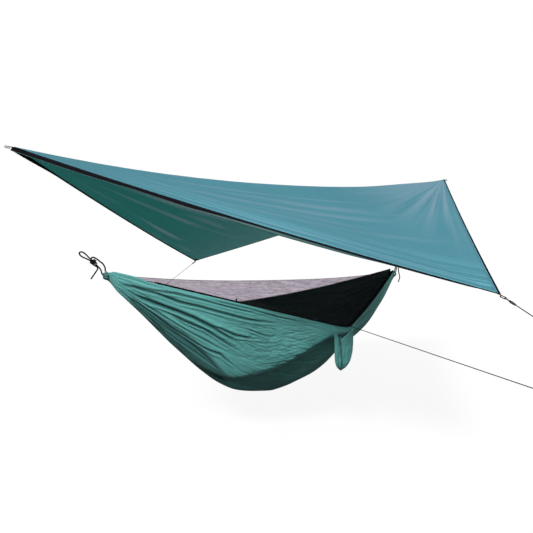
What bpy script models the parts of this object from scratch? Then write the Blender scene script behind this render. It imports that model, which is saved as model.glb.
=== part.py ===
"""Hammock tent: a gathered-end hammock with a zipped mosquito net, a square tarp pitched over it on
its diagonal, and their ropes, guylines, tensioners and hanging pouch.

Metres. +X runs from the foot end to the head end, +Y away from the pouch side, +Z up.
The origin is where the foot rope's eye bears on what holds it.
"""

import math

import bmesh
import bpy
from mathutils import Matrix, Vector

COLLECTION = "hammock_tent"

# Cloth, tape and clearances
CLOTH = 0.0008
TAPE = 0.001
NET = 0.0006
GAP = 0.0003

# Tarp: the ridge's two ends, the side corners and the sags
RIDGE_FOOT = Vector((-0.372, 0.0, 0.631))
RIDGE_HEAD = Vector((3.526, 0.0, 0.679))
SIDE_CORNER_X = 1.587
SIDE_CORNER_Y = 1.836
SIDE_CORNER_Z = -0.177
RIDGE_SAG = 0.142
RIDGE_SAG_POWER = 2.2
HEM_SAG = 0.022
PANEL_SAG = 0.02
CANOPY_CELLS = 24
FOLD_DEPTH = 0.007
FOLD_REACH_SHARE = 0.27
FOLD_COUNT = 6
HEM_WIDTH = 0.018
HEM_DROOP = 0.015
HEM_DROOP_POWER = 0.3
HEM_BELLY = 0.009
HEM_BELLY_POWER = 3
PATCH_LEG = 0.11
PATCH_CLEARANCE = 0.0005
PATCH_TIP_SHARE = 0.08
PATCH_SPREAD_SHARE = 0.96
CANOPY_SLOPE_SHARE = 1.1

# Webbing loops at the tarp's corners and at the hammock's sides
LOOP_WIDTH = 0.010
LOOP_LENGTH = 0.028
LOOP_HEIGHT = 0.0105
LOOP_WALL = 0.0016
LOOP_TAB = 0.028
LOOP_ROUND = 0.0016
RIDGE_ROOF_SHARE = 0.42

# Guylines, their knots, tensioners and end loops
GUY_CORD = 0.0048
EYE_CORD = 0.0038
EYE_LENGTH = 0.018
CORD_CLEARANCE = 0.0004
KNOT_LENGTH = 0.0075
KNOT_RADIUS = 0.0058
TENSIONER_LENGTH = 0.028
TENSIONER_RADIUS = 0.0066
TENSIONER_TIP_RADIUS = 0.0046
END_LOOP_LENGTH = 0.042
END_LOOP_WIDTH = 0.016
GUY_POINTS = 25
NEAR_GUY_LENGTH = 0.165
NEAR_GUY_DROP_SHARE = 0.51
FAR_GUY_LENGTH = 1.10
FAR_GUY_DROP_SHARE = 0.363
SIDE_GUY_LENGTH = 1.27
SIDE_GUY_DROP_SHARE = 0.072

# Hammock: gathered ends, side corners, keel
FOOT_X = 0.165
HEAD_X = 2.80
FOOT_RIM_Z = -0.130
HEAD_RIM_Z = -0.202
END_HALF_WIDTH = 0.028
NEAR_CORNER = Vector((1.61, -0.70, -0.523))
FAR_CORNER = Vector((1.505, 0.70, -0.501))
CORNER_ROUND_SHARE = 0.06
HEAD_RIM_SAG = 0.03
HAMMOCK_DEPTH = 1.116
KEEL_STATION_SHARES = (0.0, 0.08, 0.18, 0.30, 0.36, 0.42, 0.47, 0.53, 0.60, 0.70, 0.80, 0.90, 1.0)
KEEL_DEPTH_SHARES = (0.172, 0.365, 0.62, 0.88, 0.955, 0.987, 1.0, 0.95, 0.87, 0.775, 0.68, 0.486, 0.27)
SECTION_POWER = 1.35
FOOT_ROWS = 12
HEAD_ROWS = 8
ROW_SPACING_POWER = 1.2
GIRTH_CELLS = 28
PLEAT_DEPTH = 0.015
PLEAT_STATION_SHARES = (0.0, 0.05, 0.14, 0.3, 0.5, 0.7, 0.88, 0.96, 1.0)
PLEAT_DEPTH_SHARES = (0.16, 0.45, 1.0, 0.7, 0.35, 0.6, 1.0, 0.45, 0.16)

# Gathered hem sleeves at both ends
SLEEVE_LENGTH = 0.026
SLEEVE_RADIUS = 0.033
SLEEVE_PLEATS = 12
SLEEVE_PLEAT_SHARE = 0.1

# Suspension ropes: where each eye bears, where its knot sits, and its free strands
ROPE = 0.0095
ROPE_SPREAD = 0.0104
ROPE_POINTS = 46
EYE_HALF_WIDTH = 0.0132
EYE_THROAT_SHARE = 0.45
EYE_SHOULDER_SHARE = 0.8
EYE_BELLY_SHARE = 1.6
EYE_TIP_SHARE = 0.3
FOOT_EYE = Vector((0.0, 0.0, 0.0))
FOOT_KNOT = Vector((0.079, 0.0, -0.059))
HEAD_EYE = Vector((3.035, 0.0, 0.0))
HEAD_KNOT = Vector((2.890, 0.0, -0.148))
KNOT_STUB = 0.0255
KNOT_PITCH = 0.0109
KNOT_HALF_TURNS = 4.5
KNOT_TURN_POINTS = 12
KNOT_CLEARANCE = 0.0009
KNOT_LEAD_POINTS = 16
FOOT_STRAND = (
    (0.107, -0.001, -0.0905),
    (0.1205, -0.003, -0.107),
    (0.1265, -0.005, -0.1240),
    (0.1292, -0.006, -0.1365),
    (0.1335, -0.006, -0.1430),
    (0.1377, -0.006, -0.1430),
)
FOOT_LOOSE_STRAND = (
    (0.1520, 0.0, -0.1242),
    (0.1520, 0.0, -0.1170),
    (0.1510, 0.002, -0.0980),
    (0.1390, 0.003, -0.074),
    (0.1210, 0.002, -0.059),
)
FOOT_TAIL = (
    (0.0905, -0.0095, -0.0865),
    (0.1000, -0.0125, -0.0945),
    (0.1010, -0.0125, -0.1060),
    (0.0900, -0.0125, -0.1230),
    (0.0585, -0.0125, -0.1680),
)
HEAD_STRAND = (
    (2.8600, -0.003, -0.1800),
    (2.8440, -0.006, -0.2020),
    (2.8375, -0.008, -0.2200),
    (2.8340, -0.008, -0.2310),
    (2.8273, -0.008, -0.2310),
)
HEAD_LOOSE_STRAND = (
    (2.8273, 0.010, -0.2310),
    (2.8340, 0.010, -0.2310),
    (2.8390, 0.010, -0.2170),
    (2.8450, 0.009, -0.1960),
    (2.8560, 0.006, -0.1700),
)
HEAD_TAIL = (
    (2.8810, -0.0105, -0.1740),
    (2.8690, -0.0135, -0.1900),
    (2.8630, -0.0125, -0.2100),
    (2.8730, -0.0125, -0.2500),
    (2.8830, -0.0125, -0.2900),
    (2.8640, -0.0125, -0.3320),
)

# Mosquito net and its zip
NET_FOOT_Z = -0.143
NET_HEAD_Z = -0.226
NET_RIDGE_SAG = 0.062
NET_RIDGE_SAG_POWER = 2.5
NET_SAG = 0.010
RIDGE_CORD = 0.003
RIDGE_CORD_POINTS = 30
NET_FIRST_ROW = 1
DOOR_FIRST_ROW = 3
DOOR_LAST_ROW = 18
NET_LAST_ROW = 19
NET_CELLS = 3
ZIP_WIDTH = 0.035
EDGE_RISE_SHARE = 0.3
BINDING_WIDTH = 0.014
RIM_CLEARANCE = 0.0014
SLIDER_SHARE = 0.869
SLIDER_LENGTH = 0.015
SLIDER_WIDTH = 0.008
SLIDER_INSET = 0.0075
SLIDER_BASE = 0.0014
SLIDER_ARCH_HALF = 0.0045
SLIDER_SLOT_HALF = 0.0031
SLIDER_SLOT_HEIGHT = 0.0026
SLIDER_ARCH = 0.0012
PULL_LENGTH = 0.026
PULL_WIDTH = 0.0065
PULL_THICKNESS = 0.0013
PULL_WALL = 0.0013
PULL_CLEARANCE = 0.0005

# Pouch on the near edge, its drawcord and cord lock
POUCH_RUN = Vector((0.948, -0.318, 0.0)).normalized()
POUCH_FROM_CORNER = 0.028
POUCH_DROP = 0.016
POUCH_WIDTH = 0.135
POUCH_HEIGHT = 0.284
POUCH_DEPTH = 0.030
POUCH_WALL = 0.001
POUCH_STANDOFF = 0.013
POUCH_TIP_SHIFT = -0.020
POUCH_LEFT_RISE = 0.026
POUCH_LEFT_PULL = 0.028
POUCH_PULL_POWER = 6
POUCH_NOTCH = 0.055
POUCH_NOTCH_SHARE = 0.12
POUCH_NOTCH_HALF_SHARE = 0.5
POUCH_HEIGHT_STATION_SHARES = (0.0, 0.2, 0.5, 0.75, 0.9, 1.0)
POUCH_WIDTH_SHARES = (0.98, 1.0, 0.98, 0.84, 0.55, 0.06)
POUCH_DEPTH_SHARES = (0.45, 0.75, 1.0, 0.85, 0.5, 0.06)
POUCH_FOLD_SHARE = 0.07
POUCH_FOLDS = 7
POUCH_SEGMENTS = 28
POUCH_RINGS = 9
CHANNEL_WIDTH = 0.013
HANGER_TOP = 0.003
HANGER_FIRST_SHARE = 0.1
HANGER_LAST_SHARE = 0.9
HANGER_CELLS = 6
HANGER_FOOT_SHARE = 0.9
HANGER_HEAD_SHARE = 0.2
HANGER_LAP = 0.005
DRAWCORD = 0.0022
DRAWCORD_SPREAD = 0.0046
DRAWCORD_POINTS = 34
DRAWCORD_DROP = 0.082
DRAWCORD_STEP = 9
DRAWCORD_STANDOFF = 0.0155
LOCK_DROP = 0.046
LOCK_LENGTH = 0.016
LOCK_WIDTH = 0.014
LOCK_DEPTH = 0.009
LOCK_ROUND = 0.003

COLOURS = {
    "tarp_cloth": ((0.09, 0.27, 0.33), 0.45, 0.0),
    "hammock_cloth": ((0.10, 0.33, 0.27), 0.5, 0.0),
    "channel_cloth": ((0.17, 0.45, 0.37), 0.5, 0.0),
    "black_tape": ((0.015, 0.013, 0.02), 0.7, 0.0),
    "black_net": ((0.05, 0.045, 0.05), 0.9, 0.0),
    "black_rope": ((0.012, 0.01, 0.016), 0.65, 0.0),
    "grey_cord": ((0.28, 0.27, 0.29), 0.7, 0.0),
    "black_plastic": ((0.02, 0.02, 0.022), 0.4, 0.0),
}


def clear_scene():
    for old in list(bpy.data.objects):
        bpy.data.objects.remove(old, do_unlink=True)


def material(slot):
    found = bpy.data.materials.get(slot)
    if found:
        return found
    colour, roughness, metallic = COLOURS[slot]
    made = bpy.data.materials.new(slot)
    made.use_nodes = True
    shader = made.node_tree.nodes["Principled BSDF"]
    shader.inputs["Base Color"].default_value = (*colour, 1.0)
    shader.inputs["Roughness"].default_value = roughness
    shader.inputs["Metallic"].default_value = metallic
    return made


def add_object(name, data, slot):
    made = bpy.data.objects.new(name, data)
    data.materials.append(material(slot))
    bpy.data.collections[COLLECTION].objects.link(made)
    return made


def mix(a, b, share):
    return a + (b - a) * share


def interpolate(stations, values, at):
    """A smooth curve through a table of shares, flat-ended and without overshoot worth noting."""
    last = len(stations) - 1
    k = 0
    while k < last - 1 and at > stations[k + 1]:
        k += 1
    span = stations[k + 1] - stations[k]
    f = min(max((at - stations[k]) / span, 0.0), 1.0)

    def slope(i):
        if i in (0, last):
            return (values[min(i + 1, last)] - values[max(i - 1, 0)]) / (
                stations[min(i + 1, last)] - stations[max(i - 1, 0)]
            )
        before = (values[i] - values[i - 1]) / (stations[i] - stations[i - 1])
        after = (values[i + 1] - values[i]) / (stations[i + 1] - stations[i])
        if before * after <= 0:
            return 0.0
        return 2 * before * after / (before + after)

    h00 = 2 * f**3 - 3 * f**2 + 1
    h10 = f**3 - 2 * f**2 + f
    h01 = 3 * f**2 - 2 * f**3
    h11 = f**3 - f**2
    return (
        h00 * values[k]
        + h10 * span * slope(k)
        + h01 * values[k + 1]
        + h11 * span * slope(k + 1)
    )


def basis(x_axis, y_axis, z_axis, origin):
    frame = Matrix((x_axis, y_axis, z_axis)).transposed().to_4x4()
    frame.translation = origin
    return frame


def sheet(name, columns, rows, place, thickness, slot, weld=0.0):
    """A thin closed sheet: a grid whose points a rule places, made solid on both sides of itself."""
    bm = bmesh.new()
    bmesh.ops.create_grid(bm, x_segments=columns, y_segments=rows, size=1.0)
    for v in bm.verts:
        v.co = place((v.co.x + 1) / 2, (v.co.y + 1) / 2)
    if weld:
        bmesh.ops.remove_doubles(bm, verts=bm.verts[:], dist=weld)
    bmesh.ops.triangulate(bm, faces=bm.faces[:], quad_method="FIXED")
    mesh = bpy.data.meshes.new(name)
    bm.to_mesh(mesh)
    bm.free()
    mesh.shade_smooth()
    made = add_object(name, mesh, slot)
    solid = made.modifiers.new("thickness", "SOLIDIFY")
    solid.thickness = thickness
    solid.offset = 0.0
    return made


def smooth_path(points, count):
    """Evenly spaced points on a smooth curve through a route's own points."""
    route = [Vector(p) for p in points]
    route = [2 * route[0] - route[1]] + route + [2 * route[-1] - route[-2]]
    fine = []
    steps = 24
    for k in range(1, len(route) - 2):
        p0, p1, p2, p3 = route[k - 1 : k + 3]
        for i in range(steps):
            t = i / steps
            fine.append(
                0.5
                * (
                    2 * p1
                    + (p2 - p0) * t
                    + (2 * p0 - 5 * p1 + 4 * p2 - p3) * t**2
                    + (3 * p1 - p0 - 3 * p2 + p3) * t**3
                )
            )
    fine.append(route[-2])
    run = [0.0]
    for a, b in zip(fine, fine[1:]):
        run.append(run[-1] + (b - a).length)
    spaced = []
    k = 0
    for i in range(count):
        target = run[-1] * i / (count - 1)
        while k < len(run) - 2 and run[k + 1] < target:
            k += 1
        span = run[k + 1] - run[k]
        spaced.append(fine[k].lerp(fine[k + 1], (target - run[k]) / span if span else 0.0))
    return spaced


def squared_end(points, route):
    """The path with a short straight piece at its start, so that its flat end faces its route."""
    lead = (Vector(route[1]) - Vector(route[0])).normalized() * ROPE / 3
    return [points[0], points[0] + lead] + points[1:]


def tube(name, points, diameter, slot, resolution=2):
    curve = bpy.data.curves.new(name, "CURVE")
    curve.dimensions = "3D"
    curve.bevel_depth = diameter / 2
    curve.bevel_resolution = resolution
    curve.use_fill_caps = True
    spline = curve.splines.new("POLY")
    spline.points.add(len(points) - 1)
    for p, co in zip(spline.points, points):
        p.co = (*co, 1.0)
    return add_object(name, curve, slot)


def turned(name, profile, frame, slot, steps=16, closed=False):
    """A profile of (radius, height) pairs, outer side from top to bottom, turned about the frame's Z."""
    mesh = bpy.data.meshes.new(name)
    points = [(radius, 0.0, height) for radius, height in profile]
    edges = [(i, i + 1) for i in range(len(points) - 1)]
    if closed:
        edges.append((len(points) - 1, 0))
    mesh.from_pydata(points, edges, [])
    made = add_object(name, mesh, slot)
    made.matrix_world = frame
    screw = made.modifiers.new("turn", "SCREW")
    screw.axis = "Z"
    screw.steps = steps
    screw.render_steps = steps
    screw.use_merge_vertices = True
    screw.merge_threshold = 0.00001
    screw.use_smooth_shade = True
    return made


def plate(name, outlines, thickness, frame, slot):
    """A flat outline with any holes, extruded to both sides of the frame's XY plane."""
    curve = bpy.data.curves.new(name, "CURVE")
    curve.dimensions = "2D"
    curve.fill_mode = "BOTH"
    curve.extrude = thickness / 2
    for outline in outlines:
        spline = curve.splines.new("POLY")
        spline.points.add(len(outline) - 1)
        spline.use_cyclic_u = True
        for p, (x, y) in zip(spline.points, outline):
            p.co = (x, y, 0.0, 1.0)
    made = add_object(name, curve, slot)
    made.matrix_world = frame
    return made


def arc(centre_x, centre_y, radius, start, end, steps=3):
    """Points on an arc, from one quarter turn to another, in quarter turns."""
    return [
        (
            centre_x + radius * math.cos(math.pi / 2 * mix(start, end, i / steps)),
            centre_y + radius * math.sin(math.pi / 2 * mix(start, end, i / steps)),
        )
        for i in range(steps + 1)
    ]


def rounded_box(x0, x1, y0, y1, radius):
    return (
        arc(x1 - radius, y1 - radius, radius, 1, 0)
        + arc(x1 - radius, y0 + radius, radius, 0, -1)
        + arc(x0 + radius, y0 + radius, radius, -1, -2)
        + arc(x0 + radius, y1 - radius, radius, 2, 1)
    )


# Tarp


def corner(side):
    return Vector((SIDE_CORNER_X, side * SIDE_CORNER_Y, SIDE_CORNER_Z))


def tarp_side():
    """The length of the tarp's edge from its foot corner to its near corner."""
    return (corner(-1) - RIDGE_FOOT).length


def ridge_point(along):
    """A point of the tarp's ridge, from -1 at the foot corner to 1 at the head corner."""
    point = RIDGE_FOOT.lerp(RIDGE_HEAD, (along + 1) / 2)
    point.z -= RIDGE_SAG * (1 - abs(along) ** RIDGE_SAG_POWER)
    return point


def head_fold(u, v):
    """Shallow folds that fan out from the head corner over both slopes."""
    reach = math.hypot(1 - u, 1 - v)
    if reach <= 0:
        return 0.0
    turn = math.atan2(1 - v, 1 - u) / (math.pi / 2)
    far_share = reach / FOLD_REACH_SHARE
    swell = (far_share * math.exp(1 - far_share)) ** 3
    edge = math.sin(math.pi * turn)
    return FOLD_DEPTH * swell * edge * math.sin(math.pi * FOLD_COUNT * turn)


def canopy_point(u, v):
    """A point of the tarp: u runs from the foot corner to the near one, v from it to the far one."""
    along = u + v - 1
    across = v - u
    reach = max(1 - abs(along), 1e-9)
    share = min(abs(across) / reach, 1.0)
    ridge = ridge_point(along)
    ridge_end = RIDGE_FOOT if along < 0 else RIDGE_HEAD
    hem = ridge_end.lerp(corner(1 if across > 0 else -1), reach)
    hem.z -= HEM_SAG * 4 * reach * (1 - reach)
    point = ridge.lerp(hem, share)
    point.z -= PANEL_SAG * 4 * share * (1 - share) * reach
    point.z += head_fold(u, v)
    return point


def canopy_station(index, margin):
    """An even share of the tarp's side, with the first and last drawn in by the margin."""
    return min(max(index / CANOPY_CELLS, margin), 1 - margin)


def make_canopy():
    margin = (HEM_WIDTH + GAP) / tarp_side()

    def place(s, t):
        return canopy_point(
            canopy_station(round(s * CANOPY_CELLS), margin),
            canopy_station(round(t * CANOPY_CELLS), margin),
        )

    sheet("tarp_canopy", CANOPY_CELLS, CANOPY_CELLS, place, CLOTH, "tarp_cloth")


HEMS = {
    "hem_near_foot": lambda run, inset: (run, inset),
    "hem_near_head": lambda run, inset: (1 - inset, run),
    "hem_far_foot": lambda run, inset: (inset, run),
    "hem_far_head": lambda run, inset: (run, 1 - inset),
}


def make_hems():
    width = HEM_WIDTH / tarp_side()
    gap = GAP / tarp_side()
    cell = 1 / CANOPY_CELLS

    def strip(route, drooping):
        def place(s, t):
            point = canopy_point(*route(canopy_station(round(s * CANOPY_CELLS), t * width + gap), t * width))
            if drooping:
                swell = math.sin(math.pi * min(max((s - cell) / (1 - 2 * cell), 0.0), 1.0))
                droop = HEM_DROOP * max(swell, 0.0) ** HEM_DROOP_POWER + HEM_BELLY * swell**HEM_BELLY_POWER
                point.z -= droop * (1 - t) ** 2
            return point

        return place

    for name, route in HEMS.items():
        drooping = name == "hem_near_foot"
        sheet(name, CANOPY_CELLS, 3 if drooping else 1, strip(route, drooping), TAPE, "black_tape")


CORNERS = {
    "foot": lambda a, b: (a, b),
    "head": lambda a, b: (1 - a, 1 - b),
    "near": lambda a, b: (1 - a, b),
    "far": lambda a, b: (a, 1 - b),
}


def patch_drop():
    """How far a corner patch's middle lies below the tarp's middle."""
    return (CLOTH / 2 + TAPE / 2 + PATCH_CLEARANCE) * CANOPY_SLOPE_SHARE


def make_patches():
    leg = PATCH_LEG / tarp_side()

    def patch(route):
        def place(s, t):
            out = mix(PATCH_TIP_SHARE, 1.0, s)
            spread = (2 * t - 1) * PATCH_SPREAD_SHARE
            point = canopy_point(*route(leg * out * (1 + spread) / 2, leg * out * (1 - spread) / 2))
            point.z -= patch_drop()
            return point

        return place

    for name, route in CORNERS.items():
        sheet("patch_" + name, 4, 4, patch(route), TAPE, "black_tape")


def corner_frame(name):
    """A corner's tip, and its outward, sideways and upward directions."""
    route = CORNERS[name]
    step = PATCH_LEG / tarp_side() / 2
    tip = canopy_point(*route(0.0, 0.0))
    outward = (tip - canopy_point(*route(step, step))).normalized()
    side = canopy_point(*route(step, 0.0)) - canopy_point(*route(0.0, step))
    upward = outward.cross(side).normalized()
    if upward.z < 0:
        upward = -upward
    return tip, outward, upward.cross(outward), upward


def loop_drop(name):
    """How far below a corner's tip the top of its webbing tab lies."""
    under = patch_drop() + TAPE / 2 + PATCH_CLEARANCE
    if name in ("foot", "head"):
        under += LOOP_WIDTH / 2 * RIDGE_ROOF_SHARE
    return under


def loop_outlines():
    """A webbing loop seen from the side: a tab, and a ring with its slot, hung below the tab's top."""
    r = LOOP_ROUND
    ring = (
        [(-LOOP_TAB, 0.0)]
        + arc(LOOP_LENGTH - r, -r, r, 1, 0)
        + arc(LOOP_LENGTH - r, r - LOOP_HEIGHT, r, 0, -1)
        + arc(r, r - LOOP_HEIGHT, r, -1, -2)
        + [(0.0, -LOOP_WALL), (-LOOP_TAB, -LOOP_WALL)]
    )
    slot = rounded_box(
        LOOP_WALL, LOOP_LENGTH - LOOP_WALL, LOOP_WALL - LOOP_HEIGHT, -LOOP_WALL, LOOP_ROUND / 2
    )
    return [ring, slot]


def make_loop(name, origin, outward, upward):
    frame = basis(outward, upward, outward.cross(upward), origin)
    plate(name, loop_outlines(), LOOP_WIDTH, frame, "black_tape")


def corner_loop_origin(name):
    tip, _, _, upward = corner_frame(name)
    return tip - upward * loop_drop(name)


def make_corner_loops():
    for name in CORNERS:
        _, outward, _, upward = corner_frame(name)
        make_loop("loop_" + name, corner_loop_origin(name), outward, upward)


# Guylines


def slot_centre(origin, outward, upward):
    """The middle of the space that a cord fills in a webbing loop, behind the loop's end wall."""
    back = LOOP_LENGTH - LOOP_WALL - CORD_CLEARANCE - EYE_CORD / 2
    return origin + outward * back - upward * LOOP_HEIGHT / 2


def make_eye(name, centre, pull, side, direction):
    """A cord bight through a webbing loop's slot; both its ends meet the guyline's knot."""
    wing = LOOP_WIDTH / 2 + CORD_CLEARANCE * 2 + EYE_CORD / 2
    thick = LOOP_WALL + 2 * CORD_CLEARANCE + EYE_CORD
    end = centre + direction * (thick + EYE_LENGTH)
    neck = EYE_CORD / 2 + CORD_CLEARANCE

    def half(sign):
        return [
            end + side * sign * neck,
            end - direction * EYE_CORD * 2 + side * sign * neck,
            centre + direction * (thick + EYE_LENGTH / 3) + side * sign * mix(neck, wing, 0.8),
            centre + pull * thick + side * sign * wing,
            centre + pull * thick / 3 + side * sign * wing,
            centre + side * sign * wing * 0.6,
        ]

    route = half(1) + [centre] + half(-1)[::-1]
    tube(name, smooth_path(route, 30), EYE_CORD, "black_rope", 1)
    return end


def knot_profile():
    """Three bulges of wound cord with flat ends."""
    r = KNOT_RADIUS
    waist = r * 0.82
    h = KNOT_LENGTH
    half = h / 2
    return [
        (0.0, half),
        (r * 0.7, half),
        (r, half - h / 6),
        (waist, half - h / 3),
        (r, 0.0),
        (waist, h / 3 - half),
        (r, h / 6 - half),
        (r * 0.7, -half),
        (0.0, -half),
    ]


def facing(direction, origin):
    """A frame with its Z along a direction."""
    z_axis = direction.normalized()
    x_axis = Vector((1.0, 0.0, 0.0)) - z_axis * z_axis.x
    x_axis.normalize()
    return basis(x_axis, z_axis.cross(x_axis), z_axis, origin)


def make_knot(name, start, direction):
    """A small knot whose inner face is a gap past the start; returns its outer face's middle."""
    middle = start + direction * (GAP + KNOT_LENGTH / 2)
    turned(name, knot_profile(), facing(direction, middle), "black_rope", 12)
    return middle + direction * KNOT_LENGTH / 2


def make_tensioner(name, start, direction):
    """A tapered tube that slides on a guyline, its wide end first."""
    bore = GUY_CORD / 2 + CORD_CLEARANCE
    half = TENSIONER_LENGTH / 2
    rim = TENSIONER_RADIUS * 0.25
    profile = [
        (TENSIONER_TIP_RADIUS, half),
        (TENSIONER_TIP_RADIUS + rim / 3, half - rim / 2),
        (TENSIONER_RADIUS, rim - half),
        (TENSIONER_RADIUS - rim, -half),
        (bore, -half),
        (bore, half),
    ]
    middle = start + direction * (GAP + half)
    turned(name, profile, facing(direction, middle), "black_plastic", 16, closed=True)


def make_end_loop(name, start, direction, side):
    """An open loop of cord whose two ends meet the knot behind it."""
    neck = GUY_CORD / 2 + CORD_CLEARANCE
    first = start + direction * GAP

    def half(sign):
        return [
            first + side * sign * neck,
            first + direction * GUY_CORD + side * sign * neck,
            first + direction * END_LOOP_LENGTH * 0.45 + side * sign * END_LOOP_WIDTH * 0.42,
            first + direction * END_LOOP_LENGTH * 0.8 + side * sign * END_LOOP_WIDTH * 0.47,
        ]

    tip = first + direction * END_LOOP_LENGTH
    tube(name, smooth_path(half(1) + [tip] + half(-1)[::-1], 22), GUY_CORD, "grey_cord", 1)


def straight(start, end, count):
    return [start.lerp(end, i / (count - 1)) for i in range(count)]


def make_guyline(prefix, centre, pull, side, direction, length, slot, tensioned):
    """A taut cord from a webbing loop: eye, knot, sliding tensioner, cord, end knot and end loop."""
    end = make_eye(prefix + "_eye", centre, pull, side, direction)
    start = make_knot(prefix + "_knot", end, direction)
    if tensioned:
        make_tensioner(prefix + "_tensioner", start, direction)
    first = start + direction * GAP
    last = first + direction * length
    tube(prefix + "_cord", straight(first, last, GUY_POINTS), GUY_CORD, slot)
    finish = make_knot(prefix + "_end_knot", last, direction)
    make_end_loop(prefix + "_end_loop", finish, direction, side)


def guy_direction(side, drop_share):
    return Vector((0.0, side, -drop_share)).normalized()


def make_tarp_guylines():
    for name, turn, length, drop in (
        ("near", -1, NEAR_GUY_LENGTH, NEAR_GUY_DROP_SHARE),
        ("far", 1, FAR_GUY_LENGTH, FAR_GUY_DROP_SHARE),
    ):
        _, outward, _, upward = corner_frame(name)
        make_guyline(
            name + "_guy",
            slot_centre(corner_loop_origin(name), outward, upward),
            outward,
            outward.cross(upward),
            guy_direction(turn, drop),
            length,
            "grey_cord",
            True,
        )


# Hammock


def stations(middle):
    """The X of each row along one edge, closer together at the gathered ends."""
    foot = [mix(FOOT_X, middle, (i / FOOT_ROWS) ** ROW_SPACING_POWER) for i in range(FOOT_ROWS)]
    head = [mix(HEAD_X, middle, (i / HEAD_ROWS) ** ROW_SPACING_POWER) for i in range(HEAD_ROWS + 1)]
    return foot + head[::-1]


def tent(x, peak_x):
    """1 at a side corner and 0 at both ends, straight between them but for the rounded corner."""
    away = (peak_x - x) / (peak_x - FOOT_X) if x < peak_x else (x - peak_x) / (HEAD_X - peak_x)
    top = 1 - CORNER_ROUND_SHARE / 2
    if away < CORNER_ROUND_SHARE:
        return (top - away**2 / (2 * CORNER_ROUND_SHARE)) / top
    return (1 - away) / top


def end_line(x, foot_z, head_z):
    return mix(foot_z, head_z, (x - FOOT_X) / (HEAD_X - FOOT_X))


def rim_point(x, side):
    """A point of the hammock's near (-1) or far (1) edge."""
    peak = NEAR_CORNER if side < 0 else FAR_CORNER
    rise = tent(x, peak.x)
    half_width = mix(END_HALF_WIDTH, abs(peak.y), rise)
    z = end_line(x, FOOT_RIM_Z, HEAD_RIM_Z)
    z += (peak.z - end_line(peak.x, FOOT_RIM_Z, HEAD_RIM_Z)) * rise
    if x > peak.x:
        share = (x - peak.x) / (HEAD_X - peak.x)
        z -= HEAD_RIM_SAG * 4 * share * (1 - share)
    return Vector((x, side * half_width, z))


def keel_z(x):
    share = (x - FOOT_X) / (HEAD_X - FOOT_X)
    return -HAMMOCK_DEPTH * interpolate(KEEL_STATION_SHARES, KEEL_DEPTH_SHARES, share)


def section_point(x, turn):
    """A point of the hammock's smooth cross-section, from 0 at the near edge to 1 at the far one."""
    angle = math.pi * turn
    edge = rim_point(x, -1 if turn < 0.5 else 1)
    deep = math.sin(angle) ** SECTION_POWER if 0 < turn < 1 else 0.0
    return Vector((x, -abs(edge.y) * math.cos(angle), mix(edge.z, keel_z(x), deep)))


def pleated_point(x, column):
    """The cross-section with its lengthwise pleats, one ridge or furrow a column."""
    turn = column / GIRTH_CELLS
    point = section_point(x, turn)
    if column in (0, GIRTH_CELLS):
        return point
    step = 0.5 / GIRTH_CELLS
    run = section_point(x, turn + step) - section_point(x, turn - step)
    outward = Vector((0.0, run.z, -run.y)).normalized()
    share = (x - FOOT_X) / (HEAD_X - FOOT_X)
    depth = PLEAT_DEPTH * interpolate(PLEAT_STATION_SHARES, PLEAT_DEPTH_SHARES, share)
    depth *= math.sqrt(math.sin(math.pi * turn))
    return point + outward * depth * (0.5 if column % 2 else -0.5)


def row_x(row, turn):
    """The X of a row of the hammock, which runs askew from the near side corner to the far one."""
    return mix(stations(NEAR_CORNER.x)[row], stations(FAR_CORNER.x)[row], turn)


def make_hammock_cloth():
    rows = FOOT_ROWS + HEAD_ROWS

    def place(s, t):
        return pleated_point(row_x(round(s * rows), t), round(t * GIRTH_CELLS))

    sheet("hammock_cloth", rows, GIRTH_CELLS, place, CLOTH, "hammock_cloth")


def make_sleeve(name, face_x, direction, centre_z):
    """The hammock's end hem, gathered tight on its rope."""
    bm = bmesh.new()
    bmesh.ops.create_cone(
        bm,
        cap_ends=True,
        segments=2 * SLEEVE_PLEATS,
        radius1=SLEEVE_RADIUS,
        radius2=SLEEVE_RADIUS,
        depth=SLEEVE_LENGTH,
    )
    for v in bm.verts:
        turn = math.atan2(v.co.y, v.co.x)
        swell = 1 + SLEEVE_PLEAT_SHARE * math.cos(SLEEVE_PLEATS * turn)
        v.co.x *= swell
        v.co.y *= swell
    mesh = bpy.data.meshes.new(name)
    bm.to_mesh(mesh)
    bm.free()
    made = add_object(name, mesh, "hammock_cloth")
    middle = Vector((face_x + direction * (GAP + CLOTH / 2 + SLEEVE_LENGTH / 2), 0.0, centre_z))
    made.matrix_world = basis(
        Vector((0.0, 0.0, 1.0)), Vector((0.0, 1.0, 0.0)), Vector((-1.0, 0.0, 0.0)), middle
    )


def sleeve_centre_z(rim_z, x):
    return (rim_z + keel_z(x)) / 2


def make_sleeves():
    make_sleeve("foot_sleeve", FOOT_X, -1, sleeve_centre_z(FOOT_RIM_Z, FOOT_X))
    make_sleeve("head_sleeve", HEAD_X, 1, sleeve_centre_z(HEAD_RIM_Z, HEAD_X))


# Suspension ropes: one leg passes the knot, goes round the eye and ends in the knot; the other
# leg crosses over the knot, winds round both strands and hangs as the tail


def rope_axes(eye, knot):
    """The direction from a rope's eye to its knot, and the upward direction across it."""
    direction = (knot - eye).normalized()
    across = direction.cross(Vector((0.0, 1.0, 0.0)))
    return direction, across if across.z > 0 else -across


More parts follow.
